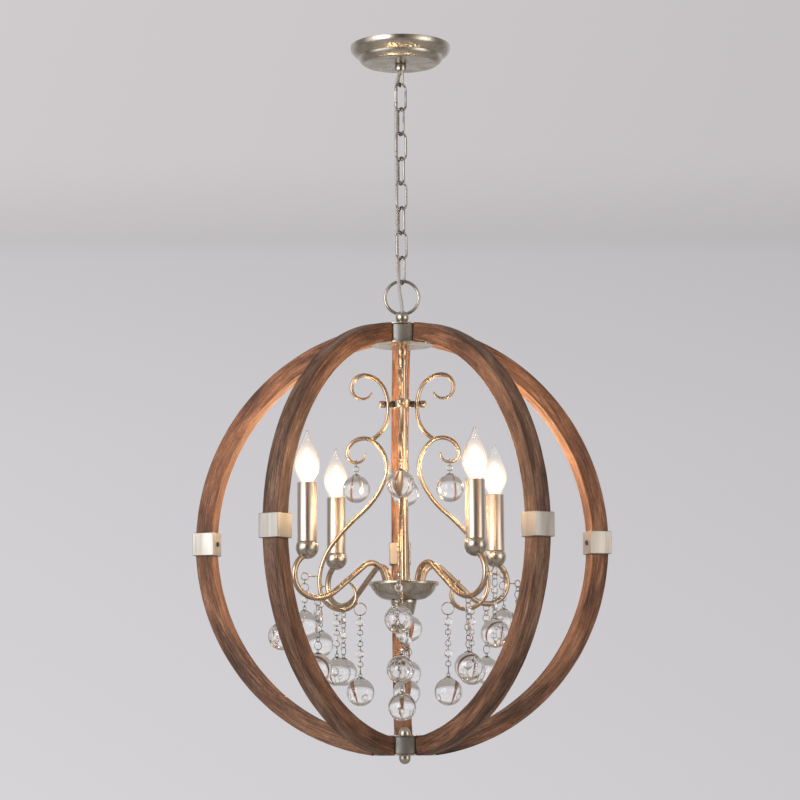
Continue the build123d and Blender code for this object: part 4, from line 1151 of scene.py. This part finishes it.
@dataclass
class Branches:
    """Four scrolls bolted to the collar and four arms out of the dish."""

    shop: Workshop

    def scroll(self) -> Shell:
        """One scroll in the XZ plane, its free ends drawn down to a thin, round tip."""
        upper, lower = walk_arcs(*UPPER_CURL), walk_arcs(*LOWER_CURL)
        shell = Shell()
        for line, ends in ((upper, (34, 5)), (lower, (34, 16))):
            radii = []
            for k in range(len(line)):
                near = min(1.0, k / ends[0])
                far = min(1.0, (len(line) - 1 - k) / ends[1])
                end = 0.5 + 0.5 * far if ends[1] > 5 else 1.0
                radii.append(ROD_RADIUS * min(0.42 + 0.58 * near**0.8, end))
            shell.add(tube(line, radii, 16, domed=True))
        shell.add(ring(18.2, EYE_WIRE, count=44), at(60.0, 0, -95.6))
        shell.add(eye(92.0, -104.0, lowest_at(lower, 92.0)))
        shell.add(hook(SCROLL_HOOK, max(p.x for p in lower if abs(p.z - SCROLL_HOOK[1]) < 1.2)))
        return shell

    def arm(self) -> Shell:
        """One arm in the XZ plane."""
        line = walk_arcs(*ARM)
        shell = Shell().add(tube(line, ARM_RADIUS, 20)).add(eye(143.0, -95.0, lowest_at(line, 143.0)))
        return shell.add(hook(ARM_HOOK, max(p.x for p in line if abs(p.z - ARM_HOOK[1]) < 1.2)))

    def build(self) -> None:
        """Makes scrolls and arms."""
        scrolls, arms = self.scroll().around(SCROLL_AZIMUTHS), self.arm().around(ARM_AZIMUTHS)
        self.shop.piece("scroll_rods", scrolls, [Slot.SILVER], Body.ORB, ("scrolls",), 50.0, gilt=True)
        self.shop.piece("candle_arms", arms, [Slot.SILVER], Body.ORB, ("arms",), 50.0, gilt=True)


@dataclass
class Candles:
    """Cup, sleeve and lamp on each arm."""

    shop: Workshop
    light: float = 1.7

    def build(self) -> None:
        """Makes the four candles and their light."""
        cup = [(0.0, -33.4)] + rounded(15.4, -18.0, -90, range(1, 16), 121 / 15)
        cup += [(12.9, -10.05), (0.0, -10.05)]
        sleeve = [(12.1, -9.9), (12.9, -9.9), (13.2, -9.5), (13.2, 68.2), (12.9, 68.9), (12.3, 68.9),
                  (12.1, 68.4), (12.1, -9.9)]
        cups, sleeves = (lathe(profile, 48).moved(at(CANDLE_R)).around(ARM_AZIMUTHS)
                         for profile in (cup, sleeve))
        self.shop.piece("arm_cups", cups, [Slot.SILVER], Body.ORB, ("candle_cups",), 35.0)
        self.shop.piece("candle_tubes", sleeves, [Slot.SLEEVE], Body.ORB, ("candle_sleeves",), 35.0)
        self.shop.refinish("lamp_sockets", Slot.SOCKET)
        hot = HotWire().build()
        for number, azimuth in enumerate(ARM_AZIMUTHS, 1):
            self.lamp(number, azimuth, hot)

    def lamp(self, number: int, azimuth: float, hot: bpy.types.Material) -> None:
        """One candle lamp: flame-shaped glass, base, glass stem and filament."""
        place = turned(azimuth) @ at(CANDLE_R, 0, CANDLE_TOP)
        shape = [(8.6, -1.0), (8.9, 0.8), (10.4, 4.4), (13.2, 9.6), (16.0, 15.6), (17.4, 21.6), (17.5, 26.6),
                 (16.6, 32.4), (14.4, 39.0), (11.4, 46.0), (8.4, 52.6), (5.6, 59.0), (3.4, 64.6), (1.9, 68.6),
                 (0.9, 70.6), (0.0, 70.9)]
        inside = [(max(r - 0.8, 0.0), z - (0.8 if r < 1.0 else 0.2)) for r, z in reversed(shape)]
        glass = Shell().add(lathe(shape, 48)).add(lathe(inside, 48))
        body = f"bulb_{number}"
        made = self.shop.piece(f"lamp_glass_{number}", glass.moved(place), [Slot.BULB], body, (body,), 60.0)
        made.visible_shadow = False
        smooth = made.modifiers.new("round", "SUBSURF")
        smooth.levels = smooth.render_levels = 1
        base = self.base().moved(place)
        self.shop.piece(f"lamp_base_{number}", base, [Slot.ZINC, Slot.BULB], body, (), 35.0)
        wire = tube(self.coil(), 0.42, 8).moved(place)
        self.shop.piece(f"filament_{number}", wire, [hot], body, (), 60.0)
        data = bpy.data.lights.new(f"lamp_light_{number}", "POINT")
        data.energy = self.light
        data.color = (1.0, 0.66, 0.36)
        data.shadow_soft_size = 0.012
        light = bpy.data.objects.new(f"lamp_light_{number}", data)
        light.location = (place @ Vector((0, 0, 25.0)) - Vector((0, 0, DROP))) * MM
        light.visible_camera = False
        bpy.context.scene.collection.objects.link(light)

    @staticmethod
    def base() -> Shell:
        """Threaded base in slot 0, glass mount in slot 1 and its two wires."""
        profile = [(0.0, -21.0), (4.0, -20.8), (6.7, -19.4)]
        for k in range(6):
            profile += [(6.85, -18.0 + 2.4 * k), (6.3, -16.8 + 2.4 * k)]
        profile += [(6.85, -3.4), (8.3, -1.3), (8.3, -1.05), (0.0, -1.05)]
        mount = [(3.6, -1.0), (3.4, 6.0), (2.0, 11.0), (1.1, 14.0), (0.0, 14.2)]
        shell = Shell().add(lathe(profile, 36)).add(lathe(mount, 20), slot=1)
        for side in (-1, 1):
            wire = [Vector((side * x, 0, z)) for x, z in ((1.0, 10.0), (2.2, 17.0), (4.2, 24.0))]
            shell.add(tube(wire, 0.28, 8))
        return shell

    @staticmethod
    def coil() -> list[Vector]:
        """Points of the filament, from one wire to the other."""
        points = []
        for k in range(91):
            rise = 2.2 * sin(pi * k / 90) + 0.7 * sin(k * 0.9)
            points.append(Vector((-4.2 + 8.4 * k / 90, 0.7 * cos(k * 0.9), 24.0 + rise)))
        return points


# ---------------------------------------------------------------- crystal drops
@dataclass
class CrystalDrops:
    """Strands of octagon beads and rings with a clear ball under each."""

    shop: Workshop

    def ball(self, loop_top: float, across: bool) -> Shell:
        """Ball, bell cap and the cap's loop; loop_top is the middle of the loop's upper wire."""
        top = loop_top - 4.4 - 1.8
        centre, radius = top - 19.0, 18.95
        profile = [(0.0, centre - radius)] + rounded(radius, centre, -90, range(1, 40), 4.5)
        profile.append((0.0, centre + radius))
        shell = Shell().add(lathe(profile, 64), slot=1)
        cap = [(6.1, top - 1.2), (6.0, top - 0.6), (4.6, top + 0.5), (3.2, top + 1.2), (2.0, top + 1.75),
               (0.0, top + 1.8), (0.0, top + 0.2), (4.4, top - 0.3), (5.9, top - 1.05), (6.1, top - 1.2)]
        shell.add(lathe(cap, 32))
        return shell.add(ring(5.4, 1.0, across, 24), at(0, 0, loop_top - 2.2))

    def bead(self, hole_z: float, across: bool) -> Shell:
        """Octagonal crystal with a table and bevelled facets on both faces."""
        shell = Shell()
        rows = []
        for reach, depth in ((3.12, 2.47), (5.72, 0.87), (5.72, -0.87), (3.12, -2.47)):
            start = len(shell.points)
            for k in range(8):
                a = radians(45.0 * k + 22.5)
                r = reach / cos(pi / 8)
                shell.points.append(Vector((depth, r * sin(a), r * cos(a))))
            rows.append(list(range(start, start + 8)))
        shell.faces.append(tuple(rows[0]))
        for a, b in zip(rows, rows[1:]):
            for k in range(8):
                n = (k + 1) % 8
                shell.faces.append((a[k], b[k], b[n], a[n]))
        shell.faces.append(tuple(reversed(rows[-1])))
        spin = Matrix.Identity(4) if across else Matrix.Rotation(pi / 2, 4, "Z")
        return shell.moved(at(0, 0, hole_z - 3.75) @ spin)

    def strand(self, code: str, line_z: float, line_wire: float) -> Shell:
        """A strand in millimetres under a wire at line_z.

        Args:
            code: r for a small ring, R for a large ring and b for a bead, from the top.
            line_z: Height of the wire that it hangs on.
            line_wire: Thickness of that wire.

        Returns:
            Rings in slot 0 and crystal in slot 1.
        """
        shell = Shell()
        z = line_z
        rise = (line_wire + 1.0) / 2 + 0.2
        drop = 0.15
        for number, letter in enumerate(code):
            across = number % 2 == 0
            if letter == "b":
                shell.add(self.bead(z - drop, across), slot=1)
                z -= drop + 7.5
                rise = -drop
                continue
            size = 8.4 if letter == "r" else 12.4
            mean = (size - 1.0) / 2
            top = z + rise
            shell.add(ring(size, 1.0, across, 26, 8), at(0, 0, top - mean))
            z = top - 2 * mean
            rise = 1.2
        return shell.add(self.ball(z + rise, len(code) % 2 == 0))

    def top_drop(self) -> Shell:
        """Ring over the lower curl, a small ring, and a ball."""
        line = walk_arcs(*LOWER_CURL[:2], LOWER_CURL[2][:1], 0.5)
        rod = lowest_at(line, 64.4)
        top = rod + 3.6 + 0.3
        shell = Shell().add(ring(11.2, 1.2, True, 30), at(0, 0, top - 5.0))
        low = top - 10.0
        shell.add(ring(8.4, 1.0, False, 26, 8), at(0, 0, low + 1.3 - 3.7))
        return shell.add(self.ball(low + 1.3 - 7.4 + 1.2, True))

    def hang(self, node: str, parts: list[tuple[Shell, float]], azimuth: float) -> None:
        """Places (strand, radius) pairs at an azimuth as one piece that replaces a node."""
        shell = Shell()
        for part, radius in parts:
            shell.add(part, turned(azimuth) @ at(radius))
        made = self.shop.piece(f"crystal_{node}", shell, [Slot.CHAIN, Slot.CRYSTAL], node, (node,), 24.0)

    def build(self) -> None:
        """Makes every drop."""
        inner = self.strand("rbrrbrrbrrR", -104.0, EYE_WIRE)
        longer = self.strand("rbrrbrrbrrbrrR", -104.0, EYE_WIRE)
        middle = self.strand("rbrrbrR", -104.0, EYE_WIRE)
        scroll_tip = self.strand("rRbrr", SCROLL_HOOK[1] - 4.9, HOOK_WIRE)
        arm = self.strand("rbrrbrrR", -95.0, EYE_WIRE)
        arm_tip = self.strand("rRbrrbr", ARM_HOOK[1] - 4.9, HOOK_WIRE)
        over = self.top_drop()
        for number, azimuth in enumerate(SCROLL_AZIMUTHS, 1):
            self.hang(f"top_drop_{number}", [(over, 64.4)], azimuth)
            first = longer if number == 1 else inner
            self.hang(f"scroll_strands_{number}", [(first, 60.0), (middle, 92.0)], azimuth)
            self.hang(f"scroll_tip_strand_{number}", [(scroll_tip, SCROLL_HOOK[0])], azimuth)
        for number, azimuth in enumerate(ARM_AZIMUTHS, 1):
            self.hang(f"arm_strand_{number}", [(arm, 143.0)], azimuth)
            self.hang(f"arm_tip_strand_{number}", [(arm_tip, ARM_HOOK[0])], azimuth)


# ---------------------------------------------------------------- whole scene
def build_finishes() -> dict[Slot, bpy.types.Material]:
    """Returns the material of each slot."""
    metals = {
        Slot.SILVER: ("antique_silver", (0.55, 0.515, 0.45), (0.34, 0.31, 0.265), (0.22, 0.32), 45.0,
                      1.0, 0.00003),
        Slot.ZINC: ("zinc", (0.62, 0.63, 0.65), (0.48, 0.49, 0.5), (0.3, 0.45), 160.0),
        Slot.CHAIN: ("nickel_wire", (0.40, 0.385, 0.37), (0.22, 0.21, 0.20), (0.14, 0.24), 90.0,
                     1.0, 0.00003),
        Slot.DRUM: ("grey_drum", (0.34, 0.335, 0.33), (0.24, 0.235, 0.23), (0.36, 0.5), 90.0),
        Slot.CLAMP: ("pale_clamp", (0.47, 0.455, 0.43), (0.33, 0.31, 0.285), (0.4, 0.55), 70.0, 14.0),
        Slot.SCREW: ("dark_steel", (0.12, 0.11, 0.10), (0.06, 0.055, 0.05), (0.35, 0.5), 200.0),
        Slot.SLEEVE: ("candle_sleeve", (0.60, 0.54, 0.48), (0.48, 0.41, 0.34), (0.26, 0.34), 30.0,
                      6.0, 0.00002),
    }
    finishes = {slot: SatinMetal(*values) for slot, values in metals.items()}
    finishes[Slot.FLEX] = Plastic("clear_sleeve", (0.62, 0.60, 0.59), 0.25, 0.35)
    finishes[Slot.WOOD] = WeatheredWood()
    finishes[Slot.SOCKET] = Plastic("lamp_holder", (0.80, 0.76, 0.68), 0.5)
    flame = (CANDLE_TOP + 20.0 - DROP) * MM
    finishes[Slot.BULB] = ClearGlass("lamp_glass", (1.0, 0.985, 0.96), 1.3, 0.34, flame)
    finishes[Slot.CRYSTAL] = ClearGlass("crystal", (0.985, 0.985, 0.985), 1.52)
    return {slot: finish.build() for slot, finish in finishes.items()}


def main() -> None:
    """Builds the camera, the cord, the room and every sub-assembly in order."""
    scene = bpy.context.scene
    scene.view_settings.view_transform = "Standard"
    scene.view_settings.look = "None"
    RoomCamera().build()
    gilt = SatinMetal("gilt_silver", (0.60, 0.475, 0.35), (0.40, 0.295, 0.205), (0.22, 0.32), 45.0,
                      relief=0.00003)
    shop = Workshop(build_finishes(), gilt.build())
    SupplyCord(shop).build()
    PaleRoom().build()
    lights = [
        StudioLight("key", (-2.6, -3.0, 0.2), (0, 0, -0.6), (2.4, 2.0), 60.0),
        StudioLight("fill", (3.0, -2.2, -0.6), (0, 0, -0.7), (2.2, 2.2), 26.0, (1.0, 0.97, 0.94)),
    ]
    for light in lights:
        light.build()
    for part in (CeilingMount(shop), Chain(shop), WoodenOrb(shop), CentreStem(shop), Branches(shop),
                 Candles(shop), CrystalDrops(shop)):
        part.build()
        log.info("built %s, %d pieces so far", type(part).__name__, shop.count)


if __name__ == "__main__":
    logging.basicConfig(level=logging.INFO)
    main()
    bpy.context.view_layer.update()
